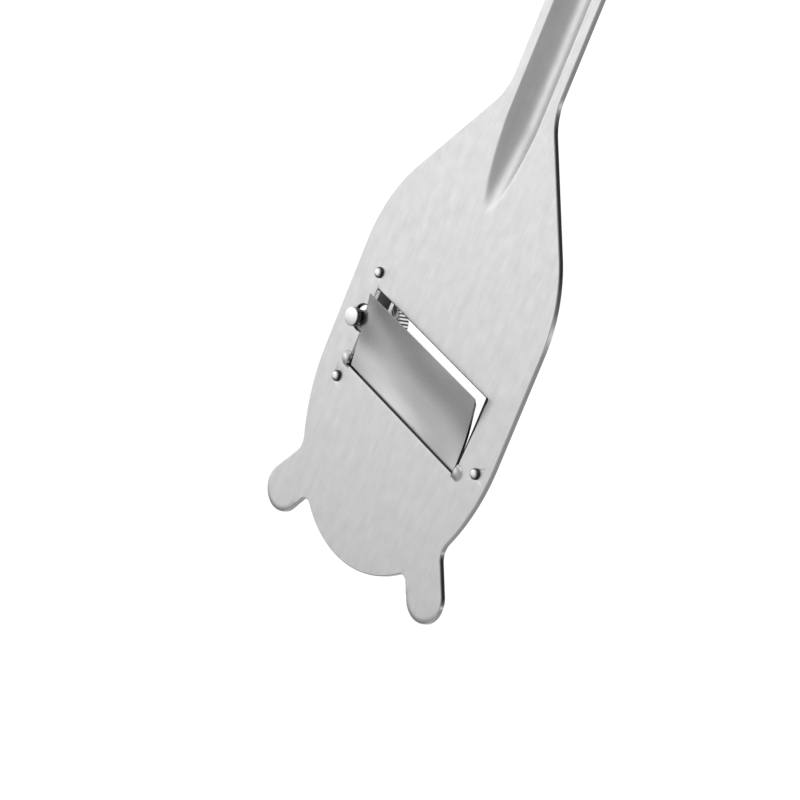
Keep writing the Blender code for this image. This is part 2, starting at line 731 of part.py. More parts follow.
def make_blade():
    """The blade, with the slotted ear that the screw's head holds down."""
    ear_slot = belt([
        (SCREW_ALONG, SCREW_ACROSS, SCREW_BORE),
        (SCREW_ALONG, SCREW_ACROSS + slot_travel(), SCREW_BORE),
    ])
    depth = 2 * (BLADE_TOP + OVERRUN)
    plan = place("blade_plan", slab("blade_plan", [blade_outline(), ear_slot], depth), HINGE_AXIS)
    length = 2 * (right_side(0, 0) - left_side(0, 0))
    side = slab("blade_side", [blade_profile()], length)
    turn = (math.pi / 2, 0, math.pi / 2)
    combine(plan, place("blade_side", side, HINGE_AXIS, (0, 0, 0), turn, CUTTERS), "INTERSECT")
    bpy.context.view_layer.update()
    flat = plan.evaluated_get(bpy.context.evaluated_depsgraph_get())
    mesh = bpy.data.meshes.new_from_object(flat)
    bpy.data.objects.remove(plan, do_unlink=True)
    bow_blade(mesh)
    blade = place("blade", mesh, HINGE_AXIS)
    smooth(blade)
    steel(blade, BLADE_STEEL)


def make_rod():
    """The hinge rod, brazed under the blade's rear edge and turning in the two pockets."""
    mesh = cylinder("hinge_rod", ROD_RADIUS, ROD_RIGHT - ROD_LEFT)
    rod = place("hinge_rod", mesh, HINGE_AXIS, (ROD_LEFT, 0, 0), (0, -math.pi / 2, 0))
    smooth(rod)
    steel(rod, WIRE_STEEL)


def make_screw():
    """The adjusting screw, whose plain round head holds the blade's ear down."""
    high = HEAD_LOW_Z + HEAD_HEIGHT
    low = NUT_BACK_Z + SCREW_END_INSET
    screw = place("adjusting_screw", bpy.data.meshes.new("adjusting_screw"), SCREW_AXIS)
    turned(screw, [
        (0, high),
        (HEAD_RADIUS - HEAD_EDGE, high),
        (HEAD_RADIUS, high - HEAD_EDGE),
        (HEAD_RADIUS, HEAD_LOW_Z),
        (SCREW_RADIUS, HEAD_LOW_Z),
        (SCREW_RADIUS, low),
        (0, low),
    ], False)
    steel(screw, POLISHED_STEEL)


def make_washer():
    """The washer between the bridge and the nut."""
    washer = place("nut_washer", bpy.data.meshes.new("nut_washer"), SCREW_AXIS)
    turned(washer, [
        (WASHER_RADIUS, WASHER_TOP_Z),
        (WASHER_RADIUS, WASHER_BACK_Z),
        (SCREW_BORE, WASHER_BACK_Z),
        (SCREW_BORE, WASHER_TOP_Z),
    ], True)
    steel(washer, TURNED_STEEL)


def make_nut():
    """The knurled nut, a ribbed disc with worn-off corners."""
    mesh = slab("knurled_nut", [knurl_outline()], NUT_HEIGHT + OVERRUN)
    nut = place("knurled_nut", mesh, SCREW_AXIS, (0, 0, NUT_TOP_Z - NUT_HEIGHT / 2))
    half = NUT_HEIGHT / 2
    limits = place("nut_limits", bpy.data.meshes.new("nut_limits"), SCREW_AXIS, group=CUTTERS)
    limits.location = nut.location
    rim = NUT_RADIUS + NUT_EDGE
    turned(limits, [
        (NUT_RADIUS - NUT_EDGE, half),
        (rim, half - 2 * NUT_EDGE),
        (rim, -half + 2 * NUT_EDGE),
        (NUT_RADIUS - NUT_EDGE, -half),
        (SCREW_BORE, -half),
        (SCREW_BORE, half),
    ], True)
    combine(nut, limits, "INTERSECT")
    smooth(nut)
    steel(nut, TURNED_STEEL)


def spring_points():
    """The middle of the spring's wire, rising steadily from the bridge to the blade's ear."""
    start = SPRING_LOW_Z + SPRING_WIRE / 2
    rise = SPRING_HIGH_Z - SPRING_LOW_Z - SPRING_WIRE
    count = round(SPRING_TURNS * POINTS_PER_TURN)
    points = []
    for i in range(count + 1):
        share = i / count
        angle = SPRING_START + math.tau * SPRING_TURNS * share
        x = SPRING_RADIUS * math.cos(angle)
        y = SPRING_RADIUS * math.sin(angle)
        points.append((x, y, start + rise * share))
    return points


def least_gap(points):
    """The least clear distance between two stretches of the wire over half a turn apart."""
    places = [Vector(point) for point in points]
    apart = POINTS_PER_TURN // 2
    spans = [(a - b).length for i, a in enumerate(places) for b in places[i + apart:]]
    return min(spans) - SPRING_WIRE


def make_spring():
    """The spring round the screw, which pushes the blade's ear up against the screw's head."""
    points = spring_points()
    print("least gap between the spring's coils:", least_gap(points), "m")
    wire = tube("adjusting_spring", points, SPRING_WIRE / 2, WIRE_RESOLUTION)
    spring = place("adjusting_spring", wire, SCREW_AXIS)
    smooth(spring)
    steel(spring, WIRE_STEEL)


clear_scene()
PARTS = new_collection("truffle_slicer")
CUTTERS = new_collection("cutters")
FRAME = empty("slicer_frame", None, (0, -MIDDLE_Y, -NUT_BACK_Z))
HINGE_LINE = empty("hinge_line", FRAME, (0, HINGE_Y, HINGE_Z), (0, 0, -WINDOW_SLANT))
HINGE_AXIS = empty("hinge_axis", HINGE_LINE, (0, 0, 0), (OPEN_ANGLE, 0, 0))
SCREW_AXIS = empty("screw_axis", FRAME, (SCREW_X, SCREW_Y, 0))
ROD_SPACE = along_hinge("rod_space", ROD_BORE, ROD_LEFT - CLEARANCE, ROD_RIGHT + CLEARANCE)

make_plate()
make_bridge()
make_keeper()
make_rivet("rivet_upper_left", UPPER_RIVET, SEAT_Z - BRIDGE_THICKNESS)
make_rivet("rivet_lower_left", LOWER_RIVET, SEAT_Z - BRIDGE_THICKNESS)
make_rivet("rivet_right", RIGHT_RIVET, SEAT_Z - KEEPER_THICKNESS)
make_blade()
make_rod()
make_screw()
make_washer()
make_nut()
make_spring()
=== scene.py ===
"""Looks of the truffle slicer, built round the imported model. Metres, +Z up, in the model's frame.

Sizes are measured as in the model: from the middle of the window and from the slicing face. ORIGIN
is that place in the frame. Pieces are made at their size there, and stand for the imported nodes.
"""

import math

import bmesh
import bpy
from mathutils import Matrix, Vector


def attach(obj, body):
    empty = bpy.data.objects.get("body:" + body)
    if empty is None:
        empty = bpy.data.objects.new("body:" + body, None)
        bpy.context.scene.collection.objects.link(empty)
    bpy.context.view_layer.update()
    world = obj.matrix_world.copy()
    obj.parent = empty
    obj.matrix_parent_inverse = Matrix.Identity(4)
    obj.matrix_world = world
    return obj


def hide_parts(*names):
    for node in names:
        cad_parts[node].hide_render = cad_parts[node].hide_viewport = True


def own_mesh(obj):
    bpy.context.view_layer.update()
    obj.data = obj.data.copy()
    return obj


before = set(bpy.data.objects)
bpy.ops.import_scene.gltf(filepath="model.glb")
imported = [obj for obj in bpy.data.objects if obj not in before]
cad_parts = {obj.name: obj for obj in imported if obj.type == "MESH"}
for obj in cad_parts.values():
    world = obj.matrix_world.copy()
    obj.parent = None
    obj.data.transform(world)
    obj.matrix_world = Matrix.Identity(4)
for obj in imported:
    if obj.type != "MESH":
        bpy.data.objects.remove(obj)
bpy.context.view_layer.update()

# Slicing plate, with a wide round toe between two small feet
PLATE_THICKNESS = 0.0018
PLATE_EDGE = 0.00035
PLATE_HALF_WIDTH = 0.04155
SIDE_LOW_Y = -0.008
SIDE_HIGH_Y = 0.028
SIDE_RADIUS = 0.067
SHOULDER_RADIUS = 0.049
TAPER_ANGLE = math.radians(34)
TOE_INSET = 0.00595
TOE_CENTRE_Y = -0.0247
FOOT_RADIUS = 0.0074
FOOT_INSET = 0.00595
FOOT_CENTRE_Y = -0.0534
FOOT_INNER_FILLET = 0.0025
FOOT_INNER_ANGLE = math.radians(-50.5)
FOOT_OUTER_FILLET = 0.006
FOOT_OUTER_ANGLE = math.radians(-24.1)
FOOT_TURN_LENGTH = 0.0017
FOOT_TURN_DROP = 0.00033

# Handle, one piece with the plate and stiffened by a pressed channel
HANDLE_HALF_WIDTH = 0.0105
HANDLE_END_Y = 0.163
NECK_FILLET = 0.02
HANG_HOLE_RADIUS = 0.0035
CHANNEL_RADIUS = 0.007
CHANNEL_DEPTH = 0.004
CHANNEL_TIP_Y = 0.056
CHANNEL_SLOPE = math.radians(8.5)
CHANNEL_END_SLOPE = math.radians(30)
CHANNEL_BEND = 0.03
CHANNEL_TO_HOLE = 0.0045
CHANNEL_SHOULDER = 0.0012
CHANNEL_TIP_SHOULDER = 0.0003
CHANNEL_LEAD = 0.0048

# Window, a slanted four-sided opening whose long edges run along the hinge
WINDOW_SLANT = math.radians(8.3)
WINDOW_DEPTH = 0.0246
WINDOW_CENTRE_Y = -0.00023
WINDOW_LEFT_MARGIN = 0.0121
WINDOW_RIGHT_MARGIN = 0.0139
WINDOW_RIGHT_LEAN = math.radians(0.8)
WINDOW_CORNER = 0.0004
NOTCH_RADIUS = 0.004
NOTCH_CORNER = 0.0006
WINDOW_EDGE = 0.0005
WINDOW_ROLL = 3.6
WINDOW_SHIFT = 0.00025

# Hinge of the blade, a rod in two pressed pockets
HINGE_INSET = 0.0013
OPEN_ANGLE = math.radians(9.26)
ROD_RADIUS = 0.0008
ROD_REACH = 0.0027
ROD_EDGE = 0.0002
SEAM_HALF_WIDTH = 0.0005
SEAM_WAIST = 0.7
SEAM_STEPS = 24
BEARING_WALL = 0.0012
POCKET_LENGTH = 0.0034
POCKET_HALF_WIDTH = 0.00235
POCKET_HEIGHT = 0.001

# Blade, whose waves are rows of sine heights across it, blended from its left end to its right
BLADE_THICKNESS = 0.00115
BLADE_EDGE = 0.0001
BLADE_CORNER = 0.00012
BLADE_LEFT_GAP = 0.00125
BLADE_RIGHT_GAP = 0.0004
BLADE_FRONT_GAP = 0.00035
BLADE_REAR_OVERHANG = 0.0005
BLADE_WAVES = (
    (0.00034, 0.00006, 0.00004, -0.00008),
    (0.00208, -0.00076, 0.00019, -0.00006),
    (0.00021, 0.00104, -0.00022, 0.0002),
    (0.00027, -0.00058, 0.00007, -0.00006),
    (0.00074, 0.00018, -0.00009, 0.00002),
)
BLADE_DROP = 0.00028
BEVEL_LENGTH = 0.002
CUTTING_EDGE_THICKNESS = 0.00015
EAR_WALL = 0.0005
EAR_FILLET = 0.0024

# Adjusting screw, washer and nut, on one axis beside the window
SCREW_OFFSET = 0.00175
SCREW_Y = 0.0062
SCREW_RADIUS = 0.0015
SCREW_END_INSET = 0.0004
SCREW_CHAMFER = 0.0003
THREAD_PITCH = 0.0005
THREAD_DEPTH = 0.00025
THREAD_ROWS = 8
HEAD_RADIUS = 0.00285
HEAD_HEIGHT = 0.00175
HEAD_EDGE = 0.0002
WASHER_RADIUS = 0.0055
WASHER_THICKNESS = 0.0008
WASHER_EDGE = 0.00015
NUT_RADIUS = 0.008
NUT_HEIGHT = 0.0045
NUT_CHAMFER = 0.0004
NUT_CHAMFER_DROP = 0.0001
NUT_COUNTERSINK = 0.0004
BORE_PLAY = 0.00003
KNURL_DEPTH = 0.00035
KNURL_COUNT = 46
KNURL_STEPS = 8
KNURL_GROOVE = 0.5

# Spring between the bridge and the blade's ear
SPRING_WIRE = 0.00055
SPRING_RADIUS = 0.0021
SPRING_TURNS = 3.75
SPRING_START = math.radians(200)
SPRING_STEPS = 24
WIRE_SIDES = 12

# Bridge behind the plate, which carries the nut and the spring
BRIDGE_THICKNESS = 0.0015
BRIDGE_EDGE = 0.0002
BRIDGE_HALF_WIDTH = 0.0042
BRIDGE_STAND_OFF = 0.0032
BRIDGE_FLAT_ABOVE = 0.0082
BRIDGE_FLAT_BELOW = 0.0076
BRIDGE_LEG_SLOPE = math.radians(45)
BRIDGE_BEND = 0.0005

# Keeper under the hinge's right end
KEEPER_THICKNESS = 0.0012
KEEPER_HALF_WIDTH = 0.003

# Rivets, by how far they are from the window's sides and above or below its middle
UPPER_RIVET_OFFSET = 0.002
UPPER_RIVET_RISE = 0.02133
LOWER_RIVET_OFFSET = 0.00245
LOWER_RIVET_DROP = 0.01327
RIGHT_RIVET_OFFSET = 0.00795
RIGHT_RIVET_DROP = 0.01227
RIVET_RADIUS = 0.001
RIVET_HEAD_RADIUS = 0.0017
RIVET_HEAD_HEIGHT = 0.00075
RIVET_FACE_RADIUS = 0.00075
RIVET_SIDE_HEIGHT = 0.0003
RIVET_TAIL_RADIUS = 0.0016
RIVET_TAIL_HEIGHT = 0.0006

# Fits, and how finely round shapes are divided
CLEARANCE = 0.0003
ARC_TOLERANCE = 0.000004
MERGE_DISTANCE = 0.000001
EDGE_STEPS = 4
DOME_STEPS = 8
ROUND_STEPS = 64
CHANNEL_GRID = 0.0005
POCKET_GRID = 0.00015
POCKET_MARGIN = 0.00075
ROD_GRID_REACH = 1.5
ROD_GRID_MARGIN = 1.02
BLADE_GRID = 0.0006
SMOOTH_ANGLE = math.radians(40)

# Marks of the edge layer, which paint shade and highlights into the colour: 0 on a face, 1 on a
# plain cut wall, less where a wall gets a painted highlight, and more where its painted shade is
# deeper
OUTER_WALL = 1.12
# Outer walls get deeper painted shade on their +Y side and a painted highlight facing about ±X, and
# hole walls the deepest painted shade
SHADED_WALL = 1.75
SHADED_FACING = 0.5
BRIGHT_WALL = 0.65
HIGHLIGHT_FACING = 0.13
HOLE_WALL = 6
HOLE_FADE = 0.25
# Deep painted shade on the strap's face under the plate, round the screw's head on the blade, on
# the rivets' sides and in the knurl's grooves
STRAP_SHADE = 2
HEAD_SHADE_REACH = 0.0014
RIVET_SHADE = 1.5
RIVET_SHADE_SLOPE = 3
KNURL_SHADE = 2
WALL_MARKS = (0.45, 1)
SHADE_MARKS = (1, 1.7)

# Brushed steel: shares of its two sets of lines and its blotches, and the noise that counts
FINE_SHARE = 0.5
LINES_SHARE = 0.7
LONG_DETAIL = 3
FINE_DETAIL = 2
NOISE_RANGE = (0.3, 0.7)

# Camera, which looks at a place on the slicing face
CAMERA_PLACE = (0.63365, 0.18684, 0.67168)
CAMERA_AIM = (-0.00351, -0.05894, 0.0124)
CAMERA_ROLL = math.radians(-82.79)
CAMERA_LENS = 144.56
CAMERA_NEAR = 0.01
SENSOR_WIDTH = 36

# Studio: levels of light, and the directions and heights between which they change
FLOOR_SIZE = 12
FLOOR_GAP = 0.0001
FLOOR_GLOW = 0.88
FLOOR_SHADE = 0.35
DOME_LEVEL = 0.42
LOW_LEVEL = 0.5
LOW_HEIGHTS = (0.05, 0.35)
HORIZON_HEIGHTS = (0.01, 0.04)
KEY_LEVEL = 1.68
KEY_SIDE = (-0.22, -0.75)
KEY_FALL = (-0.51, -0.03)
KEY_BACK = (-0.2, 0.22)
KEY_BACK_SHARE = 0.25
BACK_SIDE = (0.36, 0.6)
BACK_LEVEL = 0.95
DARK_SPOTS = (
    ((0.66, 0.26, 0.7), (0.86, 0.97), 0.38),
    ((-0.5, -0.78, 0.38), (0.82, 0.98), 0.21),
)

# Places that follow from the sizes above
SLANT_COS = math.cos(WINDOW_SLANT)
SLANT_SIN = math.sin(WINDOW_SLANT)
ALONG_HINGE = (SLANT_COS, -SLANT_SIN)
LEAN_TAN = math.tan(WINDOW_RIGHT_LEAN)
TOE_RADIUS = PLATE_HALF_WIDTH - TOE_INSET
FOOT_CENTRE_X = PLATE_HALF_WIDTH - FOOT_INSET
WINDOW_LEFT = WINDOW_LEFT_MARGIN - PLATE_HALF_WIDTH
WINDOW_RIGHT = PLATE_HALF_WIDTH - WINDOW_RIGHT_MARGIN
UPPER_RIVET = (WINDOW_LEFT - UPPER_RIVET_OFFSET, WINDOW_CENTRE_Y + UPPER_RIVET_RISE)
LOWER_RIVET = (WINDOW_LEFT - LOWER_RIVET_OFFSET, WINDOW_CENTRE_Y - LOWER_RIVET_DROP)
RIGHT_RIVET = (WINDOW_RIGHT + RIGHT_RIVET_OFFSET, WINDOW_CENTRE_Y - RIGHT_RIVET_DROP)
HINGE_Y = WINDOW_CENTRE_Y + (HINGE_INSET - WINDOW_DEPTH / 2) / SLANT_COS
ROD_BORE = ROD_RADIUS + CLEARANCE
BLADE_UNDERSIDE = ROD_BORE
BLADE_TOP = BLADE_UNDERSIDE + BLADE_THICKNESS
HINGE_Z = -BLADE_TOP
BLADE_DEPTH = WINDOW_DEPTH - HINGE_INSET - BLADE_FRONT_GAP
SCREW_BORE = SCREW_RADIUS + CLEARANCE
SCREW_X = WINDOW_LEFT - SCREW_OFFSET
PLATE_BACK_Z = -PLATE_THICKNESS
SEAT_Z = PLATE_BACK_Z - CLEARANCE
BRIDGE_FRONT_Z = PLATE_BACK_Z - BRIDGE_STAND_OFF
BRIDGE_BACK_Z = BRIDGE_FRONT_Z - BRIDGE_THICKNESS
WASHER_TOP_Z = BRIDGE_BACK_Z - CLEARANCE
WASHER_BACK_Z = WASHER_TOP_Z - WASHER_THICKNESS
NUT_TOP_Z = WASHER_BACK_Z - CLEARANCE
NUT_BACK_Z = NUT_TOP_Z - NUT_HEIGHT
HANG_HOLE_Y = HANDLE_END_Y - HANDLE_HALF_WIDTH
CHANNEL_START_Y = CHANNEL_TIP_Y - CHANNEL_LEAD
CHANNEL_END_Y = HANG_HOLE_Y - HANG_HOLE_RADIUS - CHANNEL_TO_HOLE
MIDDLE_Y = (HANDLE_END_Y + FOOT_CENTRE_Y - FOOT_RADIUS) / 2
ORIGIN = Vector((0, -MIDDLE_Y, -NUT_BACK_Z))
HINGE_AXIS = (
    Matrix.Translation(ORIGIN + Vector((0, HINGE_Y, HINGE_Z)))
    @ Matrix.Rotation(-WINDOW_SLANT, 4, "Z") @ Matrix.Rotation(OPEN_ANGLE, 4, "X")
)
AT_ORIGIN = Matrix.Translation(ORIGIN)
SCREW_AXIS = Matrix.Translation(ORIGIN + Vector((SCREW_X, SCREW_Y, 0)))


# Numbers and rows of them

def clamped(share):
    """A share kept between 0 and 1."""
    return min(1, max(0, share))


def between(start, stop, share):
    """The number at a share of the way from one to another."""
    return start + (stop - start) * share


def quarter_turn(count):
    """Angles that divide a quarter turn."""
    return [math.pi / 2 * i / count for i in range(count + 1)]


def neighbours(items):
    """Each item of a closed row, between the one before it and the one after it."""
    return zip(items[-1:] + items[:-1], items, items[1:] + items[:1])


# Places on the plate and on the hinge

def on_plate(along, across):
    """The plate's x and y of a place along the hinge and across it, towards the handle."""
    x = along * SLANT_COS + across * SLANT_SIN
    y = HINGE_Y - along * SLANT_SIN + across * SLANT_COS
    return (x, y)


def on_hinge(x, y):
    """How far along and across the hinge a place on the plate lies."""
    rise = y - HINGE_Y
    return (x * SLANT_COS - rise * SLANT_SIN, x * SLANT_SIN + rise * SLANT_COS)


def left_side(across, inset):
    """How far along the hinge the window's left side is, moved into the window by the inset."""
    return (WINDOW_LEFT + inset - across * SLANT_SIN) / SLANT_COS


def right_side(across, inset):
    """How far along the hinge the window's right side is, moved into the window by the inset."""
    reach = WINDOW_RIGHT - inset + across * (SLANT_COS * LEAN_TAN - SLANT_SIN)
    return reach / (SLANT_COS + SLANT_SIN * LEAN_TAN)


def height_when_open(across, lift):
    """Height of a blade surface over the slicing face, at a place across, with the blade raised."""
    return HINGE_Z + (across * math.sin(OPEN_ANGLE) + lift) / math.cos(OPEN_ANGLE)


SCREW_ALONG, SCREW_ACROSS = on_hinge(SCREW_X, SCREW_Y)
SLOT_TRAVEL = SCREW_ACROSS / math.cos(OPEN_ANGLE) + BLADE_TOP * math.tan(OPEN_ANGLE) - SCREW_ACROSS
ROD_LEFT = left_side(0, 0) - ROD_REACH
ROD_RIGHT = right_side(0, 0) + ROD_REACH
HEAD_LOW_Z = height_when_open(SCREW_ACROSS + HEAD_RADIUS, BLADE_TOP) + CLEARANCE
SPRING_LOW_Z = BRIDGE_FRONT_Z + CLEARANCE
SPRING_REACH = SPRING_RADIUS + SPRING_WIRE / 2
SPRING_HIGH_Z = height_when_open(SCREW_ACROSS - SPRING_REACH, BLADE_UNDERSIDE) - CLEARANCE


# Outlines

def arc(x, y, radius, start, turn):
    """Points of an arc with its centre on the left of the path, or on the right if radius < 0."""
    if radius == 0:
        return [(x, y)]
    step = 2 * math.acos(1 - ARC_TOLERANCE / max(abs(radius), 2 * ARC_TOLERANCE))
    count = max(1, math.ceil(abs(turn) / step))
    headings = [start + turn * i / count for i in range(count + 1)]
    return [(x + radius * math.sin(a), y - radius * math.cos(a)) for a in headings]


def belt(rounds):
    """Points of a path round circles, each x, y and radius, joined by their tangents.

    The path turns left round a positive radius and right round a negative one, and a radius of 0
    is a corner. The path is closed, and runs anticlockwise if most of its turns are left.
    """
    headings = []
    for (x, y, radius), (next_x, next_y, next_radius) in zip(rounds, rounds[1:] + rounds[:1]):
        span = math.hypot(next_x - x, next_y - y)
        lean = math.asin(max(-1, min(1, (radius - next_radius) / span)))
        headings.append(math.atan2(next_y - y, next_x - x) + lean)
    points = []
    for (x, y, radius), start, stop in zip(rounds, headings[-1:] + headings[:-1], headings):
        turn = math.remainder(stop - start, math.tau)
        if turn * radius < 0 and abs(turn) > SMOOTH_ANGLE:
            turn += math.copysign(math.tau, radius)
        points += arc(x, y, radius, start, turn)
    return points


def round_corner(before, corner, after, radius):
    """The round, as x, y and radius, that replaces a corner between two straight runs."""
    place = Vector(corner)
    ahead = (Vector(after) - place).normalized()
    back = (Vector(before) - place).normalized()
    centre = place + (ahead + back) * radius / abs(ahead.cross(back))
    side = math.copysign(1, ahead.cross(back))
    return (centre.x, centre.y, radius * side)


def rounded(corners, radius):
    """The rounds that replace all corners of a closed outline."""
    return [round_corner(*three, radius) for three in neighbours(corners)]


def around(x, y, radius, angle):
    """A place on a circle."""
    return (x + radius * math.cos(angle), y + radius * math.sin(angle))


def circle(x, y, radius, steps=ROUND_STEPS):
    """Points of a full circle."""
    return [around(x, y, radius, math.tau * i / steps) for i in range(steps)]


def plate_outline():
    """The plate and its handle: toe, foot, waist, side, shoulder, neck and handle end."""
    shoulder_x = PLATE_HALF_WIDTH - SHOULDER_RADIUS
    neck_x = HANDLE_HALF_WIDTH + NECK_FILLET
    taper_gap = SHOULDER_RADIUS + NECK_FILLET - (neck_x - shoulder_x) * math.cos(TAPER_ANGLE)
    neck_y = SIDE_HIGH_Y + taper_gap / math.sin(TAPER_ANGLE)
    side_x = PLATE_HALF_WIDTH - SIDE_RADIUS
    inner = around(0, TOE_CENTRE_Y, TOE_RADIUS + FOOT_INNER_FILLET, FOOT_INNER_ANGLE)
    outer = around(side_x, SIDE_LOW_Y, SIDE_RADIUS + FOOT_OUTER_FILLET, FOOT_OUTER_ANGLE)
    right = [
        (*inner, -FOOT_INNER_FILLET),
        (FOOT_CENTRE_X, FOOT_CENTRE_Y, FOOT_RADIUS),
        (*outer, -FOOT_OUTER_FILLET),
        (side_x, SIDE_LOW_Y, SIDE_RADIUS),
        (shoulder_x, SIDE_HIGH_Y, SHOULDER_RADIUS),
        (neck_x, neck_y, -NECK_FILLET),
    ]
    left = [(-x, y, radius) for x, y, radius in reversed(right)]
    toe = (0, TOE_CENTRE_Y, TOE_RADIUS)
    handle_end = (0, HANG_HOLE_Y, HANDLE_HALF_WIDTH)
    return belt([toe] + right + [handle_end] + left)


def window_outline():
    """The window with the screw's notch in its left side, on the plate."""
    low = -HINGE_INSET
    high = WINDOW_DEPTH - HINGE_INSET
    corners = [
        on_plate(left_side(low, 0), low),
        on_plate(right_side(low, 0), low),
        on_plate(right_side(high, 0), high),
        on_plate(left_side(high, 0), high),
    ]
    reach = SCREW_X - WINDOW_LEFT + NOTCH_CORNER
    rise = math.sqrt((NOTCH_RADIUS + NOTCH_CORNER) ** 2 - reach ** 2)
    corner_x = WINDOW_LEFT - NOTCH_CORNER
    return belt(rounded(corners, WINDOW_CORNER) + [
        (corner_x, SCREW_Y + rise, -NOTCH_CORNER),
        (SCREW_X, SCREW_Y, NOTCH_RADIUS),
        (corner_x, SCREW_Y - rise, -NOTCH_CORNER),
    ])


def blade_outline():
    """The blade with its ear, seen along the hinge."""
    low = -BLADE_REAR_OVERHANG
    high = BLADE_DEPTH
    ear = SCREW_BORE + EAR_WALL
    ear_low = SCREW_ACROSS
    ear_high = SCREW_ACROSS + SLOT_TRAVEL
    corners = [
        (left_side(low, BLADE_LEFT_GAP), low),
        (right_side(low, BLADE_RIGHT_GAP), low),
        (right_side(high, BLADE_RIGHT_GAP), high),
        (left_side(high, BLADE_LEFT_GAP), high),
        (left_side(ear_high + ear, BLADE_LEFT_GAP), ear_high + ear),
        (SCREW_ALONG, ear_high + ear),
        (SCREW_ALONG, ear_low - ear),
        (left_side(ear_low - ear, BLADE_LEFT_GAP), ear_low - ear),
    ]
    rounds = rounded(corners, BLADE_CORNER)
    rounds[4] = round_corner(corners[3], corners[4], corners[5], EAR_FILLET)
    rounds[5] = (SCREW_ALONG, ear_high, ear)
    rounds[6] = (SCREW_ALONG, ear_low, ear)
    return belt(rounds)


def ear_slot():
    """The slot in the blade's ear for the screw."""
    return belt([
        (SCREW_ALONG, SCREW_ACROSS, SCREW_BORE),
        (SCREW_ALONG, SCREW_ACROSS + SLOT_TRAVEL, SCREW_BORE),
    ])


# Flat sheets with rounded edges

def offset(outline, distances):
    """An outline moved to its left, each point by its own distance."""
    moved = []
    for (before, place, after), distance in zip(neighbours(outline), distances):
        arriving = Vector((place[0] - before[0], place[1] - before[1])).normalized()
        leaving = Vector((after[0] - place[0], after[1] - place[1])).normalized()
        heading = (arriving + leaving).normalized()
        reach = distance / heading.dot(leaving)
        moved.append((place[0] - heading.y * reach, place[1] + heading.x * reach))
    return moved


def without_repeats(outline):
    """An outline with no place listed twice in a row."""
    kept = []
    for place in outline:
        if not kept or math.dist(place, kept[-1]) > MERGE_DISTANCE:
            kept.append(place)
    if math.dist(kept[0], kept[-1]) <= MERGE_DISTANCE:
        kept.pop()
    return kept


def turned_to(out):
    """How squarely a wall faces a side, from 0 at 60 degrees to 1, by its direction's share."""
    return max(0, 2 * out - 1)


def wall_mark(out_x, out_y, in_hole):
    """The edge layer's mark on a cut wall, by the side of the sheet or hole that it is on.

    Where an outer wall faces about ±X, turned slightly to +Y, and on a hole's -X side, it gets a
    painted highlight. It gets deeper painted shade on an outer wall's +Y side, and the deepest in
    holes.
    """
    # mark sets how deep the wall's painted shade is, and worn how much painted highlight it gets
    if in_hole:
        mark = HOLE_WALL * (1 - HOLE_FADE * (1 - out_y)) * (1 + turned_to(out_x))
        worn = turned_to(-out_x)
    else:
        mark = between(OUTER_WALL, SHADED_WALL, clamped(out_y / SHADED_FACING))
        worn = max(0, 1 - abs(out_y - HIGHLIGHT_FACING) / HIGHLIGHT_FACING)
    return between(mark, BRIGHT_WALL, worn)


def skin(solid, rings, ends=True):
    """Faces between rings with the same count of points, and over the first and the last."""
    for upper, lower in zip(rings, rings[1:]):
        for j in range(len(upper)):
            k = (j + 1) % len(upper)
            solid.faces.new((upper[j], lower[j], lower[k], upper[k]))
    if ends:
        solid.faces.new(rings[0])
        solid.faces.new(rings[-1])


def sheet(outlines, thickness, edges, roll=1, shift=0):
    """A flat sheet from 0 down, whose later outlines are holes, with edges rounded on both sides.

    Its edge layer is 0 on both faces and grows to the cut walls between them. The first hole's +X
    side is shifted into it towards +Y, and its upper edge is wider by the roll there.
    """
    solid = bmesh.new()
    cut = solid.verts.layers.float.new("edge")
    steps = [
        (1 - math.sin(angle), 1 - math.cos(angle), i / EDGE_STEPS)
        for i, angle in enumerate(quarter_turn(EDGE_STEPS))
    ]
    caps = ([], [])
    for i, (outline, edge) in enumerate(zip(outlines, edges)):
        line = without_repeats(outline)
        marks = []
        rolled = []
        for before, (_, y), after in neighbours(line):
            length = math.dist(before, after)
            out_x = (after[1] - before[1]) / length
            out_y = (before[0] - after[0]) / length
            marks.append(wall_mark(out_x, out_y, i > 0))
            rolled.append(turned_to(out_x) if i == 1 and y > 0 else 0)
        upper = [(edge * inset, -edge * depth, share, roll) for inset, depth, share in steps]
        lower = [(inset, -thickness - z, share, 1) for inset, z, share, _ in reversed(upper)]
        inward = 1 if i == 0 else -1
        rings = []
        for inset, z, share, wider in upper + lower:
            places = offset(line, [
                inward * inset * (1 + (wider - 1) * part) + shift * part for part in rolled
            ])
            ring = [solid.verts.new((x, y, z)) for x, y in places]
            for vertex, mark in zip(ring, marks):
                vertex[cut] = share * mark
            rings.append(ring)
        skin(solid, rings, ends=False)
        for cap, ring in zip(caps, (rings[0], rings[-1])):
            cap += [solid.edges.get(pair) for pair in zip(ring, ring[1:] + ring[:1])]
    for cap in caps:
        bmesh.ops.triangle_fill(solid, edges=cap, use_beauty=True, use_dissolve=True)
    bmesh.ops.recalc_face_normals(solid, faces=solid.faces)
    return solid


def slice_up(solid, place, normal, geometry=None):
    """Cut a sheet, or some geometry of it, with a plane and return it with what the cut added."""
    everything = solid.verts[:] + solid.edges[:] + solid.faces[:]
    return bmesh.ops.bisect_plane(
        solid, geom=geometry or everything, dist=MERGE_DISTANCE,
        plane_co=(*place, 0), plane_no=(*normal, 0),
    )["geom"]


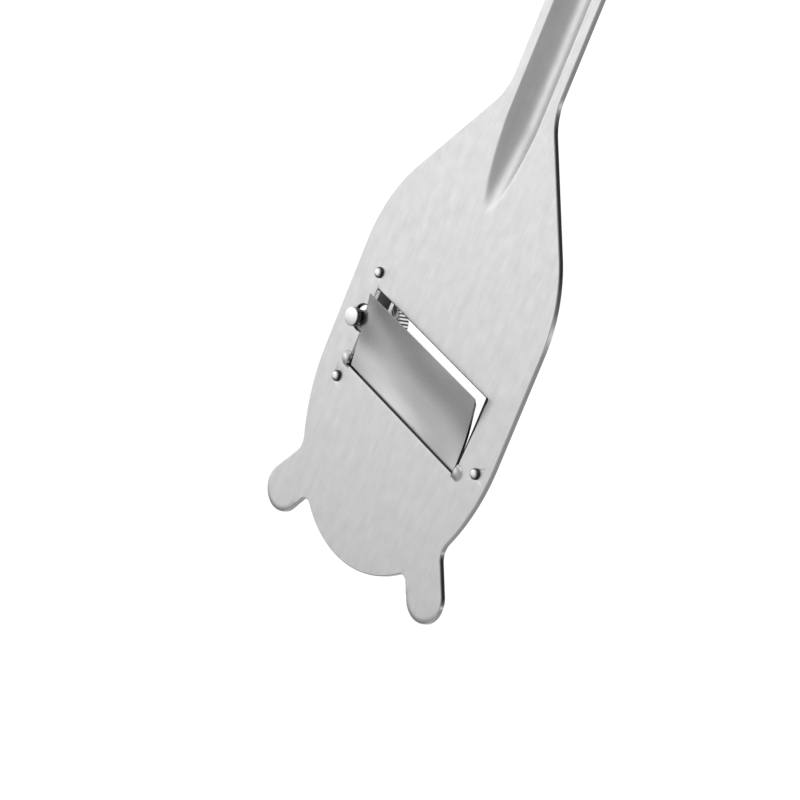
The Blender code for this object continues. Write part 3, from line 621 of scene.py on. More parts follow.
def refine(solid, centre, axis, half_sizes, steps):
    """Cut a rectangle of a flat sheet into a fine grid, turned to an axis."""
    normals = (Vector(axis), Vector((-axis[1], axis[0])))
    middle = Vector(centre)
    for normal, half in zip(normals, half_sizes):
        for border in (-half, half):
            slice_up(solid, middle + normal * border, normal)
    inside = []
    for face in solid.faces:
        away = face.calc_center_median().xy - middle
        if all(abs(away.dot(normal)) < half for normal, half in zip(normals, half_sizes)):
            inside.append(face)
    geometry = list({v for f in inside for v in f.verts})
    geometry += list({e for f in inside for e in f.edges}) + inside
    for normal, half, step in zip(normals, half_sizes, steps):
        count = math.ceil(2 * half / step)
        for i in range(1, count):
            border = half * (2 * i / count - 1)
            geometry = slice_up(solid, middle + normal * border, normal, geometry)


def placed(name, solid, matrix, material):
    """An object of a finished mesh, in the scene."""
    mesh = bpy.data.meshes.new(name)
    solid.to_mesh(mesh)
    solid.free()
    mesh.materials.append(material)
    thing = bpy.data.objects.new(name, mesh)
    bpy.context.scene.collection.objects.link(thing)
    thing.matrix_world = matrix
    return thing


def piece(name, solid, matrix, material, body, slot, *nodes):
    """An object with smooth shading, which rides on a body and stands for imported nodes."""
    many_sided = [face for face in solid.faces if len(face.verts) > 4]
    bmesh.ops.triangulate(solid, faces=many_sided)
    thing = placed(name, solid, matrix, material)
    thing.data.shade_smooth()
    thing.data.set_sharp_from_angle(angle=SMOOTH_ANGLE)
    weighted = thing.modifiers.new("weighted", "WEIGHTED_NORMAL")
    weighted.keep_sharp = True
    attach(thing, body)
    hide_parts(*nodes)
    return thing


# Pressed shapes

def pocket_height(x, y):
    """How far the sheet is pressed up over the hinge rod's ends, in round-ended pockets."""
    along, across = on_hinge(x, y)
    outward = max(left_side(across, 0) - along, along - right_side(across, 0))
    beyond = max(0, outward - (POCKET_LENGTH - POCKET_HALF_WIDTH))
    share = math.hypot(beyond, across) / POCKET_HALF_WIDTH
    if outward < -PLATE_EDGE or share >= 1:
        return 0
    return POCKET_HEIGHT * math.sqrt(1 - share * share)


def channel_floor(y):
    """Depth of the channel's floor under the slicing face at a place along the handle, as z."""
    floors = []
    for tip_y, slope, inward in (
        (CHANNEL_TIP_Y, CHANNEL_SLOPE, 1),
        (CHANNEL_END_Y, CHANNEL_END_SLOPE, -1),
    ):
        reach = inward * (y - tip_y)
        run = (CHANNEL_BEND - (CHANNEL_BEND - CHANNEL_DEPTH) * math.cos(slope)) / math.sin(slope)
        left = run - reach
        if left <= 0:
            floors.append(-CHANNEL_DEPTH)
        elif left < CHANNEL_BEND * math.sin(slope):
            floors.append(CHANNEL_BEND - CHANNEL_DEPTH - math.sqrt(CHANNEL_BEND ** 2 - left ** 2))
        else:
            floors.append(-reach * math.tan(slope))
    return max(floors)


def channel_depth(x, y):
    """How far the sheet is pressed down into the handle's channel, with soft shoulders."""
    floor = channel_floor(y)
    share = min(1, abs(x) / CHANNEL_RADIUS)
    rise = CHANNEL_RADIUS * (1 - math.sqrt(1 - share * share)) + max(0, abs(x) - CHANNEL_RADIUS)
    depth = -floor - rise
    soft = between(CHANNEL_TIP_SHOULDER, CHANNEL_SHOULDER, clamped(-floor / CHANNEL_DEPTH))
    blend = max(0, 1 - abs(depth) / soft)
    return max(depth, 0) + blend * blend * soft / 4


def foot_turn(x, y):
    """How far the sheet turns down at the ends of the feet."""
    if abs(x) < FOOT_CENTRE_X - FOOT_RADIUS:
        return 0
    reach = math.hypot(abs(x) - FOOT_CENTRE_X, y - FOOT_CENTRE_Y)
    share = max(0, (reach - FOOT_RADIUS + FOOT_TURN_LENGTH) / FOOT_TURN_LENGTH)
    facing = max(0, (FOOT_CENTRE_Y - y) / FOOT_RADIUS)
    return FOOT_TURN_DROP * share * share * facing


def blade_sag(along, across):
    """How far the blade hangs below a flat one, in waves that change from its left to its right."""
    left = left_side(0, BLADE_LEFT_GAP)
    right = right_side(0, BLADE_RIGHT_GAP)
    s = clamped((along - left) / (right - left))
    depth_share = clamped(across / BLADE_DEPTH)
    sag = s * s * BLADE_DROP * depth_share
    last = len(BLADE_WAVES) - 1
    for i, waves in enumerate(BLADE_WAVES):
        share = math.comb(last, i) * s ** i * (1 - s) ** (last - i)
        for j, wave in enumerate(waves):
            sag += share * wave * math.sin((j + 1) * math.pi * depth_share)
    return sag


# Materials

def feed(tree, thing, sources):
    """Link a node's inputs, by name or number, to other sockets, or give them values."""
    for key, source in sources.items():
        if isinstance(source, bpy.types.NodeSocket):
            tree.links.new(source, thing.inputs[key])
        else:
            thing.inputs[key].default_value = source


def node(tree, kind, sources=None, **settings):
    """A node with its settings and the sources that feed it."""
    thing = tree.nodes.new(kind)
    for name, value in settings.items():
        setattr(thing, name, value)
    feed(tree, thing, sources or {})
    return thing


def noise(tree, coordinates, stretch, detail):
    """Noise in cells of the given size along each axis."""
    scale = [1 / size for size in stretch]
    cells = node(tree, "ShaderNodeMapping", {"Vector": coordinates, "Scale": scale})
    sources = {"Vector": cells.outputs["Vector"], "Scale": 1, "Detail": detail}
    return node(tree, "ShaderNodeTexNoise", sources).outputs["Fac"]


def ranged(tree, value, source, target, soft=False):
    """A value moved from one range to another, and kept inside it."""
    names = ("Value", "From Min", "From Max", "To Min", "To Max")
    sources = dict(zip(names, (value, *source, *target)))
    kind = "SMOOTHSTEP" if soft else "LINEAR"
    return node(tree, "ShaderNodeMapRange", sources, interpolation_type=kind).outputs["Result"]


def combined(tree, operation, first, second):
    """Two values put together."""
    return node(tree, "ShaderNodeMath", {0: first, 1: second}, operation=operation).outputs[0]


def mixed(tree, share, first, second):
    """A value between two others, by a share."""
    sources = {0: share, 2: first, 3: second}
    return node(tree, "ShaderNodeMix", sources, data_type="FLOAT").outputs[0]


def steel(name, look):
    """Steel with a grain: brushed lines, blotches, fine scratches, and cut walls with painted shade
    and highlights.
    """
    material = bpy.data.materials.new(name)
    material.use_nodes = True
    tree = material.node_tree
    place = node(tree, "ShaderNodeTexCoord").outputs["Object"]
    long_lines = noise(tree, place, look["lines"], LONG_DETAIL)
    fine_lines = noise(tree, place, look["fine"], FINE_DETAIL)
    blotches = noise(tree, place, (look["blotch"],) * 3, FINE_DETAIL)
    lines = mixed(tree, FINE_SHARE, long_lines, fine_lines)
    tone = mixed(tree, LINES_SHARE, blotches, lines)
    less = 1 - look["spread"]
    more = 1 + look["spread"]
    shade = ranged(tree, tone, NOISE_RANGE, (look["shade"] * less, look["shade"] * more))
    rough = ranged(tree, tone, NOISE_RANGE, (look["rough"] * more, look["rough"] * less))
    # The edge layer paints shade into the colour: a cut wall takes the look's wall factor, painted
    # shade where it is below 1 and a painted highlight where above, and the deepest marks take its
    # hole factor
    cut = node(tree, "ShaderNodeAttribute", attribute_name="edge").outputs["Fac"]
    wall = ranged(tree, cut, WALL_MARKS, (0, 1))
    dark = ranged(tree, cut, SHADE_MARKS, (look["wall"], look["hole"]))
    shade = mixed(tree, wall, shade, combined(tree, "MULTIPLY", shade, dark))
    rough = mixed(tree, wall, rough, look["wall_rough"])
    colour = node(tree, "ShaderNodeCombineColor", dict.fromkeys(range(3), shade))
    tangent = node(tree, "ShaderNodeVectorTransform", {0: look["across"]},
                   vector_type="VECTOR", convert_from="OBJECT", convert_to="WORLD")
    bump = node(tree, "ShaderNodeBump", {
        "Strength": look["bump"], "Distance": look["bump_depth"], "Height": lines,
    })
    feed(tree, tree.nodes["Principled BSDF"], {
        "Base Color": colour.outputs["Color"],
        "Roughness": rough,
        "Metallic": 1,
        "Anisotropic": look["stretch"],
        "Tangent": tangent.outputs[0],
        "Normal": bump.outputs["Normal"],
    })
    return material


# Each look has the axis across its grain, the sizes of its lines and blotches, its shade and
# roughness, and what its shade is multiplied by on a cut wall, painted shade where below 1 and a
# painted highlight where above, and in holes and hollows, as deeper painted shade
PLATE_LOOK = dict(
    across=(1, 0, 0), lines=(0.0026, 0.009, 0.0026), fine=(0.0009, 0.007, 0.0009),
    blotch=0.004, shade=0.74, spread=0.065, rough=0.33, wall=0.36, hole=0.03, wall_rough=0.3,
    stretch=0.6, bump=0.12, bump_depth=0.00002,
)
# The blade's cut walls are near black, painted shade
BLADE_LOOK = dict(
    across=(0, 1, 0), lines=(0.02, 0.0022, 0.0022), fine=(0.008, 0.0011, 0.0011),
    blotch=0.004, shade=0.76, spread=0.04, rough=0.27, wall=0.05, hole=0.2, wall_rough=0.3,
    stretch=0.5, bump=0.025, bump_depth=0.00002,
)
# The strap's cut walls are brightened, a painted highlight
STRAP_LOOK = dict(
    across=(1, 0, 0), lines=(0.0006, 0.01, 0.0006), fine=(0.0002, 0.003, 0.0002),
    blotch=0.006, shade=0.55, spread=0.1, rough=0.32, wall=1.6, hole=0.2, wall_rough=0.35,
    stretch=0.3, bump=0.15, bump_depth=0.00002,
)
POLISHED_LOOK = dict(
    across=(0, 0, 1), lines=(0.0008,) * 3, fine=(0.0002,) * 3,
    blotch=0.003, shade=0.78, spread=0.03, rough=0.13, wall=0.1, hole=0.04, wall_rough=0.2,
    stretch=0, bump=0.06, bump_depth=0.00001,
)
TURNED_LOOK = dict(
    across=(0, 0, 1), lines=(0.0008, 0.0008, 0.0002), fine=(0.0002, 0.0002, 0.0001),
    blotch=0.004, shade=0.72, spread=0.06, rough=0.24, wall=0.3, hole=0.08, wall_rough=0.4,
    stretch=0, bump=0.12, bump_depth=0.00001,
)


# Pieces made from sheet

def make_plate(material):
    """The slicing plate with its window, pockets, feet, channel and hanging hole."""
    holes = [window_outline(), circle(0, HANG_HOLE_Y, HANG_HOLE_RADIUS)]
    for rivet in (UPPER_RIVET, LOWER_RIVET, RIGHT_RIVET):
        holes.append(circle(*rivet, RIVET_RADIUS + PLATE_EDGE))
    edges = [PLATE_EDGE, WINDOW_EDGE] + [PLATE_EDGE] * (len(holes) - 1)
    outlines = [plate_outline()] + holes
    solid = sheet(outlines, PLATE_THICKNESS, edges, WINDOW_ROLL, WINDOW_SHIFT)
    high = CHANNEL_END_Y + CHANNEL_SHOULDER
    half_sizes = (CHANNEL_RADIUS + CHANNEL_SHOULDER, (high - CHANNEL_START_Y) / 2)
    centre = (0, (CHANNEL_START_Y + high) / 2)
    refine(solid, centre, (1, 0), half_sizes, (CHANNEL_GRID, CHANNEL_GRID * 2))
    for side, outward in ((left_side(0, 0), -1), (right_side(0, 0), 1)):
        spot = side + outward * (POCKET_LENGTH / 2)
        half_sizes = (POCKET_LENGTH / 2 + POCKET_MARGIN, POCKET_HALF_WIDTH + POCKET_GRID)
        refine(solid, on_plate(spot, 0), ALONG_HINGE, half_sizes, (POCKET_GRID,) * 2)
    for side in (-1, 1):
        spot = (side * FOOT_CENTRE_X, FOOT_CENTRE_Y - FOOT_RADIUS / 2)
        half_sizes = (FOOT_RADIUS + CHANNEL_GRID, FOOT_RADIUS / 2 + CHANNEL_GRID)
        refine(solid, spot, (1, 0), half_sizes, (CHANNEL_GRID,) * 2)
    for vertex in solid.verts:
        x, y, z = vertex.co
        lift = pocket_height(x, y) - foot_turn(x, y)
        if y > CHANNEL_START_Y:
            lift -= channel_depth(x, y)
        vertex.co.z = z + lift
    piece("slicing_plate", solid, AT_ORIGIN, material, "frame", "plate_steel", "body_plate")


def make_blade(material):
    """The blade, wavy, ground thin underneath, with painted shade round the screw's head."""
    solid = sheet([blade_outline(), ear_slot()], BLADE_THICKNESS, [BLADE_EDGE] * 2)
    left = left_side(0, 0) - BLADE_GRID
    right = right_side(0, 0) + BLADE_GRID
    high = BLADE_DEPTH - BLADE_CORNER
    half_sizes = ((right - left) / 2, high / 2)
    refine(solid, ((left + right) / 2, high / 2), (1, 0), half_sizes, (BLADE_GRID * 2, BLADE_GRID))
    grind = BLADE_DEPTH - BEVEL_LENGTH
    thin = 1 - CUTTING_EDGE_THICKNESS / BLADE_THICKNESS
    cut = solid.verts.layers.float["edge"]
    for vertex in solid.verts:
        x, y, z = vertex.co
        # A painted shade round the screw's head, full at its rim and fading outwards over its reach
        from_head = math.hypot(x - SCREW_ALONG, y - SCREW_ACROSS) - HEAD_RADIUS
        vertex[cut] = max(vertex[cut], min(1, 1 - from_head / HEAD_SHADE_REACH))
        ground_share = clamped((y - grind) / BEVEL_LENGTH)
        vertex.co.z = BLADE_TOP + z * (1 - thin * ground_share) - blade_sag(x, y)
    piece("cutting_blade", solid, HINGE_AXIS, material, "blade", "blade_steel", "blade")


def bridge_path():
    """Points along the bridge's front face, from its lower foot to its upper one, as y and z."""
    inner = BRIDGE_BEND
    outer = BRIDGE_BEND + BRIDGE_THICKNESS
    slope = BRIDGE_LEG_SLOPE
    bend_rise = (inner + outer) * (1 - math.cos(slope))
    bend_run = (inner + outer) * math.sin(slope)
    leg_run = bend_run + (SEAT_Z - BRIDGE_FRONT_Z - bend_rise) / math.tan(slope)
    flat_high = SCREW_Y + BRIDGE_FLAT_ABOVE
    flat_low = SCREW_Y - BRIDGE_FLAT_BELOW
    foot_z = SEAT_Z - outer
    flat_z = BRIDGE_FRONT_Z + inner
    path = [(LOWER_RIVET[1] - BRIDGE_HALF_WIDTH, SEAT_Z)]
    path += arc(flat_low - leg_run, foot_z, -outer, 0, -slope)
    path += arc(flat_low, flat_z, inner, -slope, slope)
    path += arc(flat_high, flat_z, inner, 0, slope)
    path += arc(flat_high + leg_run, foot_z, -outer, slope, -slope)
    path.append((UPPER_RIVET[1] + BRIDGE_HALF_WIDTH, SEAT_Z))
    return path


def refine_at_rod(solid, centre, half_width):
    """Cut a strap into a fine grid where it goes round the hinge rod."""
    half_sizes = (half_width * ROD_GRID_REACH, (ROD_BORE + BEARING_WALL) * ROD_GRID_MARGIN)
    refine(solid, centre, ALONG_HINGE, half_sizes, (POCKET_GRID * 2, POCKET_GRID))


def wrap_rod(solid, start, stop):
    """Press a strap's face down round the hinge rod, with a swelling behind from start to stop."""
    wall = ROD_BORE + BEARING_WALL
    for vertex in solid.verts:
        x, y, z = vertex.co
        along, across = on_hinge(x, y)
        beyond = max(0, start + wall - along if start < 0 else along - (stop - wall))
        away = math.hypot(across, beyond)
        behind = z < SEAT_Z - CLEARANCE
        if behind and start < along < stop and away < wall:
            vertex.co.z = min(z, HINGE_Z - math.sqrt(wall * wall - away * away))
        over_rod = ROD_LEFT - CLEARANCE < along < ROD_RIGHT + CLEARANCE
        if not behind and over_rod and abs(across) < ROD_BORE:
            vertex.co.z = min(z, HINGE_Z - math.sqrt(ROD_BORE * ROD_BORE - across * across))


def make_bridge(material):
    """The strap behind the plate, which holds the hinge's left end and carries the nut."""
    path = bridge_path()
    lengths = [0]
    headings = []
    for before, after in zip(path, path[1:]):
        lengths.append(lengths[-1] + math.dist(before, after))
        headings.append(math.atan2(after[1] - before[1], after[0] - before[0]))

    def developed(y):
        for (y0, _), (y1, _), s0, s1 in zip(path, path[1:], lengths, lengths[1:]):
            if y <= y1:
                return between(s0, s1, (y - y0) / (y1 - y0))
        return lengths[-1] + y - path[-1][0]

    outline = belt([
        (SCREW_X, BRIDGE_HALF_WIDTH, BRIDGE_HALF_WIDTH),
        (SCREW_X, lengths[-1] - BRIDGE_HALF_WIDTH, BRIDGE_HALF_WIDTH),
    ])
    holes = [circle(SCREW_X, developed(SCREW_Y), SCREW_BORE)]
    for x, y in (UPPER_RIVET, LOWER_RIVET):
        holes.append(circle(x, developed(y), RIVET_RADIUS + BRIDGE_EDGE))
    solid = sheet([outline] + holes, BRIDGE_THICKNESS, [BRIDGE_EDGE] * (len(holes) + 1))
    cut = solid.verts.layers.float["edge"]
    # The strap's face towards the plate gets deep painted shade, for the plate's shadow on it
    for vertex in solid.verts:
        if vertex.co.z > -MERGE_DISTANCE:
            vertex[cut] = STRAP_SHADE
    for length in lengths[1:-1]:
        slice_up(solid, (0, length), (0, 1))
    spot = on_plate(left_side(0, 0), 0)
    rod_y = spot[1] + (spot[0] - SCREW_X) * SLANT_SIN / SLANT_COS
    refine_at_rod(solid, (SCREW_X, developed(rod_y)), BRIDGE_HALF_WIDTH)
    for vertex in solid.verts:
        x, s, z = vertex.co
        i = min(len(path) - 2, max(0, sum(length <= s for length in lengths[:-1]) - 1))
        share = (s - lengths[i]) / (lengths[i + 1] - lengths[i])
        lower = (headings[max(0, i - 1)] + headings[i]) / 2
        upper = (headings[i] + headings[min(len(headings) - 1, i + 1)]) / 2
        heading = between(lower, upper, clamped(share))
        y, height = (between(a, b, share) for a, b in zip(path[i], path[i + 1]))
        vertex.co = (x, y - math.sin(heading) * z, height + math.cos(heading) * z)
    wrap_rod(solid, ROD_LEFT - BEARING_WALL, left_side(0, 0))
    piece("bridge_strap", solid, AT_ORIGIN, material, "frame", "bridge_steel", "screw_bridge")


def make_keeper(material):
    """The small plate under the hinge's right end, held by one rivet."""
    stop = ROD_RIGHT + CLEARANCE
    end = on_plate(stop, 0)
    outline = belt([(*end, KEEPER_HALF_WIDTH), (*RIGHT_RIVET, KEEPER_HALF_WIDTH)])
    hole = circle(*RIGHT_RIVET, RIVET_RADIUS + BRIDGE_EDGE)
    solid = sheet([outline, hole], KEEPER_THICKNESS, [BRIDGE_EDGE] * 2)
    refine_at_rod(solid, end, KEEPER_HALF_WIDTH)
    for vertex in solid.verts:
        vertex.co.z += SEAT_Z
    wrap_rod(solid, right_side(0, 0), stop + BEARING_WALL)
    piece("keeper_plate", solid, AT_ORIGIN, material, "frame", "bridge_steel", "hinge_keeper")


# Turned pieces

def edge_round(radius, z, edge, outward, upward):
    """Points of a rounded corner at the rim of a turned shape, as radius and height."""
    angles = quarter_turn(EDGE_STEPS)
    if outward * upward < 0:
        angles.reverse()
    return [
        (radius - outward * edge * (1 - math.sin(a)), z - upward * edge * (1 - math.cos(a)))
        for a in angles
    ]


def turned(profile, steps=ROUND_STEPS, closed=False):
    """A solid turned round the Z axis from a profile of radii and heights."""
    solid = bmesh.new()
    solid.verts.layers.float.new("edge")
    rings = []
    for radius, z in profile:
        spots = circle(0, 0, radius, steps) if radius else [(0, 0)]
        rings.append([solid.verts.new((x, y, z)) for x, y in spots])
    pairs = list(zip(rings, rings[1:]))
    if closed:
        pairs.append((rings[-1], rings[0]))
    for upper, lower in pairs:
        for i in range(steps):
            j = (i + 1) % steps
            places = ((upper, i), (lower, i), (lower, j), (upper, j))
            corners = [ring[place % len(ring)] for ring, place in places]
            solid.faces.new(list(dict.fromkeys(corners)))
    bmesh.ops.recalc_face_normals(solid, faces=solid.faces)
    return solid


def make_rivet(name, rivet, grip, material):
    """A rivet, with a low rounded head on the plate and a peened tail behind its grip."""
    rim = RIVET_HEAD_RADIUS
    high = CLEARANCE + RIVET_HEAD_HEIGHT
    tail = grip - CLEARANCE - RIVET_TAIL_HEIGHT
    tail_height = grip - tail
    profile = [(0, high)]
    angles = quarter_turn(DOME_STEPS)
    for angle in angles:
        radius = between(RIVET_FACE_RADIUS, rim, math.sin(angle))
        profile.append((radius, between(RIVET_SIDE_HEIGHT, high, math.cos(angle))))
    profile += [(rim, 0), (RIVET_RADIUS, 0), (RIVET_RADIUS, grip), (RIVET_TAIL_RADIUS, grip)]
    for angle in angles[1:]:
        profile.append((RIVET_TAIL_RADIUS * math.cos(angle), grip - tail_height * math.sin(angle)))
    profile[-1] = (0, tail)
    place = Matrix.Translation(ORIGIN + Vector((*rivet, 0)))
    solid = turned(profile)
    cut = solid.verts.layers.float["edge"]
    # The head's rounded side gets painted shade, deeper lower down
    for vertex in solid.verts:
        share = max(0, (high - vertex.co.z) / (high - RIVET_SIDE_HEIGHT))
        vertex[cut] = min(RIVET_SHADE, RIVET_SHADE_SLOPE * share)
    piece(name + "_polished", solid, place, material, "frame", "rivet_steel", name)


def make_screw(material):
    """The adjusting screw: a plain round head, a plain neck and a thread down to its end."""
    high = HEAD_LOW_Z + HEAD_HEIGHT
    low = NUT_BACK_Z + SCREW_END_INSET
    profile = [(0, high)] + edge_round(HEAD_RADIUS, high, HEAD_EDGE, 1, 1)
    profile += edge_round(HEAD_RADIUS, HEAD_LOW_Z, HEAD_EDGE / 2, 1, -1)
    profile += [(SCREW_RADIUS + HEAD_EDGE, HEAD_LOW_Z), (SCREW_RADIUS, HEAD_LOW_Z - HEAD_EDGE)]
    rows = math.ceil((BRIDGE_FRONT_Z - low) / THREAD_PITCH * THREAD_ROWS)
    for i in range(rows + 1):
        profile.append((SCREW_RADIUS, between(BRIDGE_FRONT_Z, low, i / rows)))
    profile += [(SCREW_RADIUS - SCREW_CHAMFER, low), (0, low)]
    solid = turned(profile)
    cut = solid.verts.layers.float["edge"]
    # Painted shade on the head's side and everything below it, from the rim of its top face down
    for vertex in solid.verts:
        x, y, z = vertex.co
        radius = math.hypot(x, y)
        vertex[cut] = clamped((high - z) / HEAD_EDGE)
        if z > BRIDGE_FRONT_Z or radius < SCREW_RADIUS - THREAD_DEPTH / 2:
            continue
        turn = (z / THREAD_PITCH - math.atan2(y, x) / math.tau) % 1
        depth = THREAD_DEPTH * (1 - abs(2 * turn - 1))
        depth *= min(1, (BRIDGE_FRONT_Z - z) / THREAD_PITCH)
        if z - low < SCREW_CHAMFER:
            depth = max(depth, SCREW_CHAMFER - (z - low))
        share = (SCREW_RADIUS - depth) / radius
        vertex.co.x = x * share
        vertex.co.y = y * share
    piece("screw_polished", solid, SCREW_AXIS, material, "screw", "screw_steel", "adjusting_screw")


def make_washer(material):
    """The washer between the bridge and the nut."""
    bore = SCREW_RADIUS + BORE_PLAY
    profile = edge_round(WASHER_RADIUS, WASHER_TOP_Z, WASHER_EDGE, 1, 1)
    profile += edge_round(WASHER_RADIUS, WASHER_BACK_Z, WASHER_EDGE, 1, -1)
    profile += edge_round(bore, WASHER_BACK_Z, WASHER_EDGE, -1, -1)
    profile += edge_round(bore, WASHER_TOP_Z, WASHER_EDGE, -1, 1)
    solid = turned(profile, closed=True)
    piece("washer_turned", solid, SCREW_AXIS, material, "frame", "bridge_steel", "nut_washer")


def make_nut(material):
    """The knurled nut, a ribbed disc with worn-off corners and a countersunk bore."""
    bore = SCREW_RADIUS + BORE_PLAY
    sink = bore + NUT_COUNTERSINK
    face = NUT_RADIUS - NUT_CHAMFER - KNURL_DEPTH
    profile = [
        (sink, NUT_TOP_Z),
        (face, NUT_TOP_Z),
        (NUT_RADIUS - NUT_CHAMFER, NUT_TOP_Z - NUT_CHAMFER_DROP),
        (NUT_RADIUS, NUT_TOP_Z - NUT_CHAMFER),
        (NUT_RADIUS, NUT_BACK_Z + NUT_CHAMFER),
        (NUT_RADIUS - NUT_CHAMFER, NUT_BACK_Z + NUT_CHAMFER_DROP),
        (face, NUT_BACK_Z),
        (sink, NUT_BACK_Z),
        (bore, NUT_BACK_Z + NUT_COUNTERSINK),
        (bore, NUT_TOP_Z - NUT_COUNTERSINK),
    ]
    solid = turned(profile, KNURL_COUNT * KNURL_STEPS, closed=True)
    # The knurl's grooves get painted shade, deepest at their bottoms
    cut = solid.verts.layers.float["edge"]
    for vertex in solid.verts:
        x, y, z = vertex.co
        radius = math.hypot(x, y)
        if radius > face + KNURL_DEPTH / 2:
            share = math.atan2(y, x) / math.tau * KNURL_COUNT % 1 / KNURL_GROOVE
            sunk = math.sin(math.pi * share) if share < 1 else 0
            vertex[cut] = KNURL_SHADE * sunk
            target = min(radius, NUT_RADIUS - KNURL_DEPTH * sunk)
            vertex.co.x = x * target / radius
            vertex.co.y = y * target / radius
    piece("nut_knurled", solid, SCREW_AXIS, material, "nut", "nut_steel", "knurled_nut")


def swept(path, radius):
    """A round bar along a path, with closed ends."""
    solid = bmesh.new()
    rings = []
    for i, place in enumerate(path):
        ahead = (path[min(i + 1, len(path) - 1)] - path[max(i - 1, 0)]).normalized()
        out = ahead.cross(Vector((0, 0, 1))).normalized()
        up = out.cross(ahead)
        spots = circle(0, 0, radius, WIRE_SIDES)
        rings.append([solid.verts.new(place + out * x + up * y) for x, y in spots])
    skin(solid, rings)
    bmesh.ops.recalc_face_normals(solid, faces=solid.faces)
    return solid


def make_spring(material):
    """The spring round the screw, which pushes the blade's ear up against the screw's head."""
    start = SPRING_LOW_Z + SPRING_WIRE / 2
    rise = SPRING_HIGH_Z - SPRING_LOW_Z - SPRING_WIRE
    count = round(SPRING_TURNS * SPRING_STEPS)
    path = []
    for i in range(count + 1):
        share = i / count
        angle = SPRING_START + math.tau * SPRING_TURNS * share
        path.append(Vector((*around(0, 0, SPRING_RADIUS, angle), start + rise * share)))
    solid = swept(path, SPRING_WIRE / 2)
    spring = piece(
        "spring_wire", solid, SCREW_AXIS, material, "frame", "spring_steel", "adjusting_spring",
    )
    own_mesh(spring)


def make_rod(material):
    """The hinge rod with its worn ends, brazed along the blade's rear edge."""
    solid = bmesh.new()
    spots = [(ROD_LEFT, ROD_RADIUS - ROD_EDGE), (ROD_LEFT + ROD_EDGE, ROD_RADIUS)]
    spots += [(ROD_RIGHT - ROD_EDGE, ROD_RADIUS), (ROD_RIGHT, ROD_RADIUS - ROD_EDGE)]
    rings = []
    for along, radius in spots:
        rings.append([solid.verts.new((along, y, z)) for y, z in circle(0, 0, radius)])
    skin(solid, rings)
    left = left_side(0, BLADE_LEFT_GAP) + CLEARANCE
    right = right_side(0, BLADE_RIGHT_GAP) - CLEARANCE
    high = BLADE_UNDERSIDE + BLADE_EDGE
    low = math.sqrt(ROD_RADIUS ** 2 - SEAM_HALF_WIDTH ** 2)
    middle = (low + high) / 2
    wide = SEAM_HALF_WIDTH
    waist = SEAM_HALF_WIDTH * SEAM_WAIST
    section = [(-wide, low), (-waist, middle), (-wide, high)]
    section += [(-y, z) for y, z in reversed(section)]
    rings = []
    for i in range(SEAM_STEPS + 1):
        along = between(left, right, i / SEAM_STEPS)
        rings.append([solid.verts.new((along, y, z)) for y, z in section])
    skin(solid, rings)
    bmesh.ops.recalc_face_normals(solid, faces=solid.faces)
    piece("rod_brazed", solid, HINGE_AXIS, material, "blade", "screw_steel", "hinge_rod")


plate_steel = steel("plate_brushed_steel", PLATE_LOOK)
blade_steel = steel("blade_brushed_steel", BLADE_LOOK)
strap_steel = steel("strap_rolled_steel", STRAP_LOOK)
# The spring is a darker copy of the polished steel: painted shade, for the shade it sits in under
# the blade's ear
spring_steel = steel("spring_shaded_steel", dict(POLISHED_LOOK, shade=0.3))
polished_steel = steel("polished_steel", POLISHED_LOOK)
turned_steel = steel("turned_steel", TURNED_LOOK)

make_plate(plate_steel)
make_blade(blade_steel)
make_bridge(strap_steel)
make_keeper(strap_steel)
make_rivet("rivet_upper_left", UPPER_RIVET, SEAT_Z - BRIDGE_THICKNESS, polished_steel)
make_rivet("rivet_lower_left", LOWER_RIVET, SEAT_Z - BRIDGE_THICKNESS, polished_steel)
make_rivet("rivet_right", RIGHT_RIVET, SEAT_Z - KEEPER_THICKNESS, polished_steel)
make_screw(polished_steel)
make_washer(turned_steel)
make_nut(turned_steel)
make_spring(spring_steel)
make_rod(polished_steel)


# Studio

def make_camera():
    """The camera at the photograph's viewing angle."""
    data = bpy.data.cameras.new("camera")
    data.lens = CAMERA_LENS
    data.sensor_width = SENSOR_WIDTH
    data.clip_start = CAMERA_NEAR
    camera = bpy.data.objects.new("camera", data)
    bpy.context.scene.collection.objects.link(camera)
    camera.location = CAMERA_PLACE
    ahead = Vector(CAMERA_AIM) - Vector(CAMERA_PLACE)
    turn = ahead.to_track_quat("-Z", "Y").to_matrix()
    camera.rotation_euler = (turn @ Matrix.Rotation(CAMERA_ROLL, 3, "Z")).to_euler()
    bpy.context.scene.camera = camera


def seen_share(tree):
    """1 where a ray comes from the camera, a gloss or a transmission, and 0 where it doesn't."""
    path = node(tree, "ShaderNodeLightPath")
    seen = combined(tree, "MAXIMUM", path.outputs["Is Camera Ray"], path.outputs["Is Glossy Ray"])
    return combined(tree, "MAXIMUM", seen, path.outputs["Is Transmission Ray"])


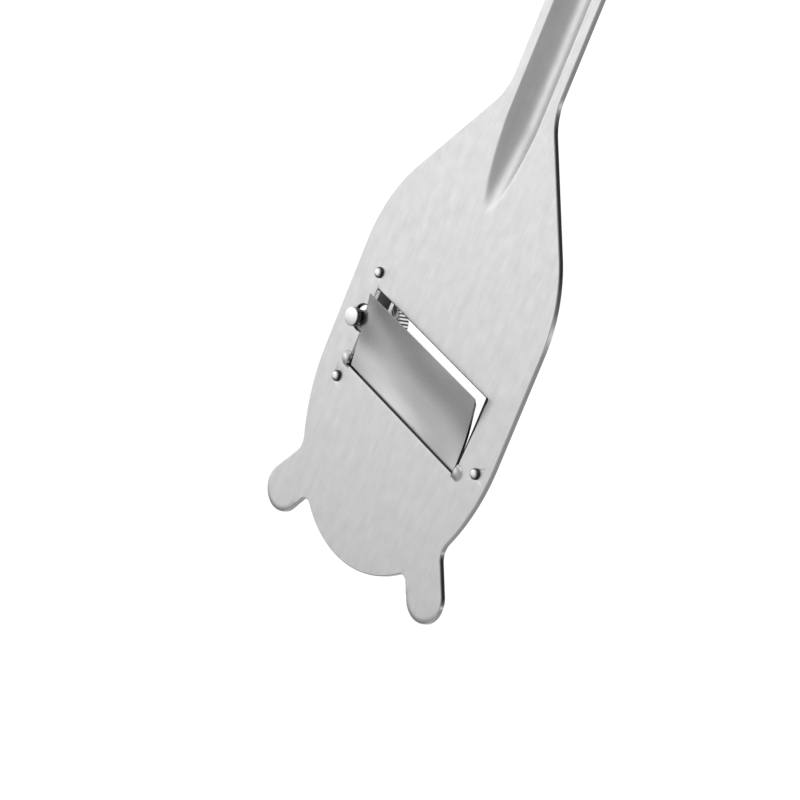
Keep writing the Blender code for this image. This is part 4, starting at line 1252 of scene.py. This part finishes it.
def make_floor():
    """A plain white floor, which keeps the object's shadow."""
    solid = bmesh.new()
    bmesh.ops.create_grid(solid, x_segments=1, y_segments=1, size=FLOOR_SIZE / 2)
    material = bpy.data.materials.new("floor_white")
    material.use_nodes = True
    tree = material.node_tree
    tree.nodes.clear()
    strength = combined(tree, "MULTIPLY", seen_share(tree), FLOOR_GLOW)
    glow = node(tree, "ShaderNodeEmission", {"Strength": strength})
    paint = node(tree, "ShaderNodeBsdfDiffuse", {"Color": (FLOOR_SHADE,) * 3 + (1,)})
    both = node(tree, "ShaderNodeAddShader", {0: paint.outputs[0], 1: glow.outputs[0]})
    node(tree, "ShaderNodeOutputMaterial", {"Surface": both.outputs[0]})
    placed("floor", solid, Matrix.Translation((0, 0, -FLOOR_GAP)), material)


def make_dome():
    """A soft dome, bright on its left and behind, with two dark patches and a white horizon."""
    world = bpy.data.worlds.new("dome")
    bpy.context.scene.world = world
    world.use_nodes = True
    tree = world.node_tree
    direction = node(tree, "ShaderNodeTexCoord").outputs["Generated"]
    x, y, z = node(tree, "ShaderNodeSeparateXYZ", {0: direction}).outputs
    side = ranged(tree, x, KEY_SIDE, (0, 1), True)
    fall = ranged(tree, y, KEY_FALL, (0, 1), True)
    fall = combined(tree, "MULTIPLY", fall, ranged(tree, y, KEY_BACK, (1, KEY_BACK_SHARE), True))
    level = mixed(tree, combined(tree, "MULTIPLY", side, fall), DOME_LEVEL, KEY_LEVEL)
    level = combined(tree, "MAXIMUM", level, ranged(tree, y, BACK_SIDE, (0, BACK_LEVEL), True))
    level = mixed(tree, ranged(tree, z, LOW_HEIGHTS, (1, 0), True), level, LOW_LEVEL)
    for aim, shares, dark in DARK_SPOTS:
        sources = {0: direction, 1: aim}
        toward = node(tree, "ShaderNodeVectorMath", sources, operation="DOT_PRODUCT")
        shade = ranged(tree, toward.outputs["Value"], shares, (0, 1), True)
        level = mixed(tree, shade, level, dark)
    level = mixed(tree, ranged(tree, z, HORIZON_HEIGHTS, (1, 0), True), level, 1)
    feed(tree, tree.nodes["Background"], {"Color": (1, 1, 1, 1), "Strength": level})


make_camera()
make_floor()
make_dome()
bpy.context.scene.view_settings.view_transform = "Standard"
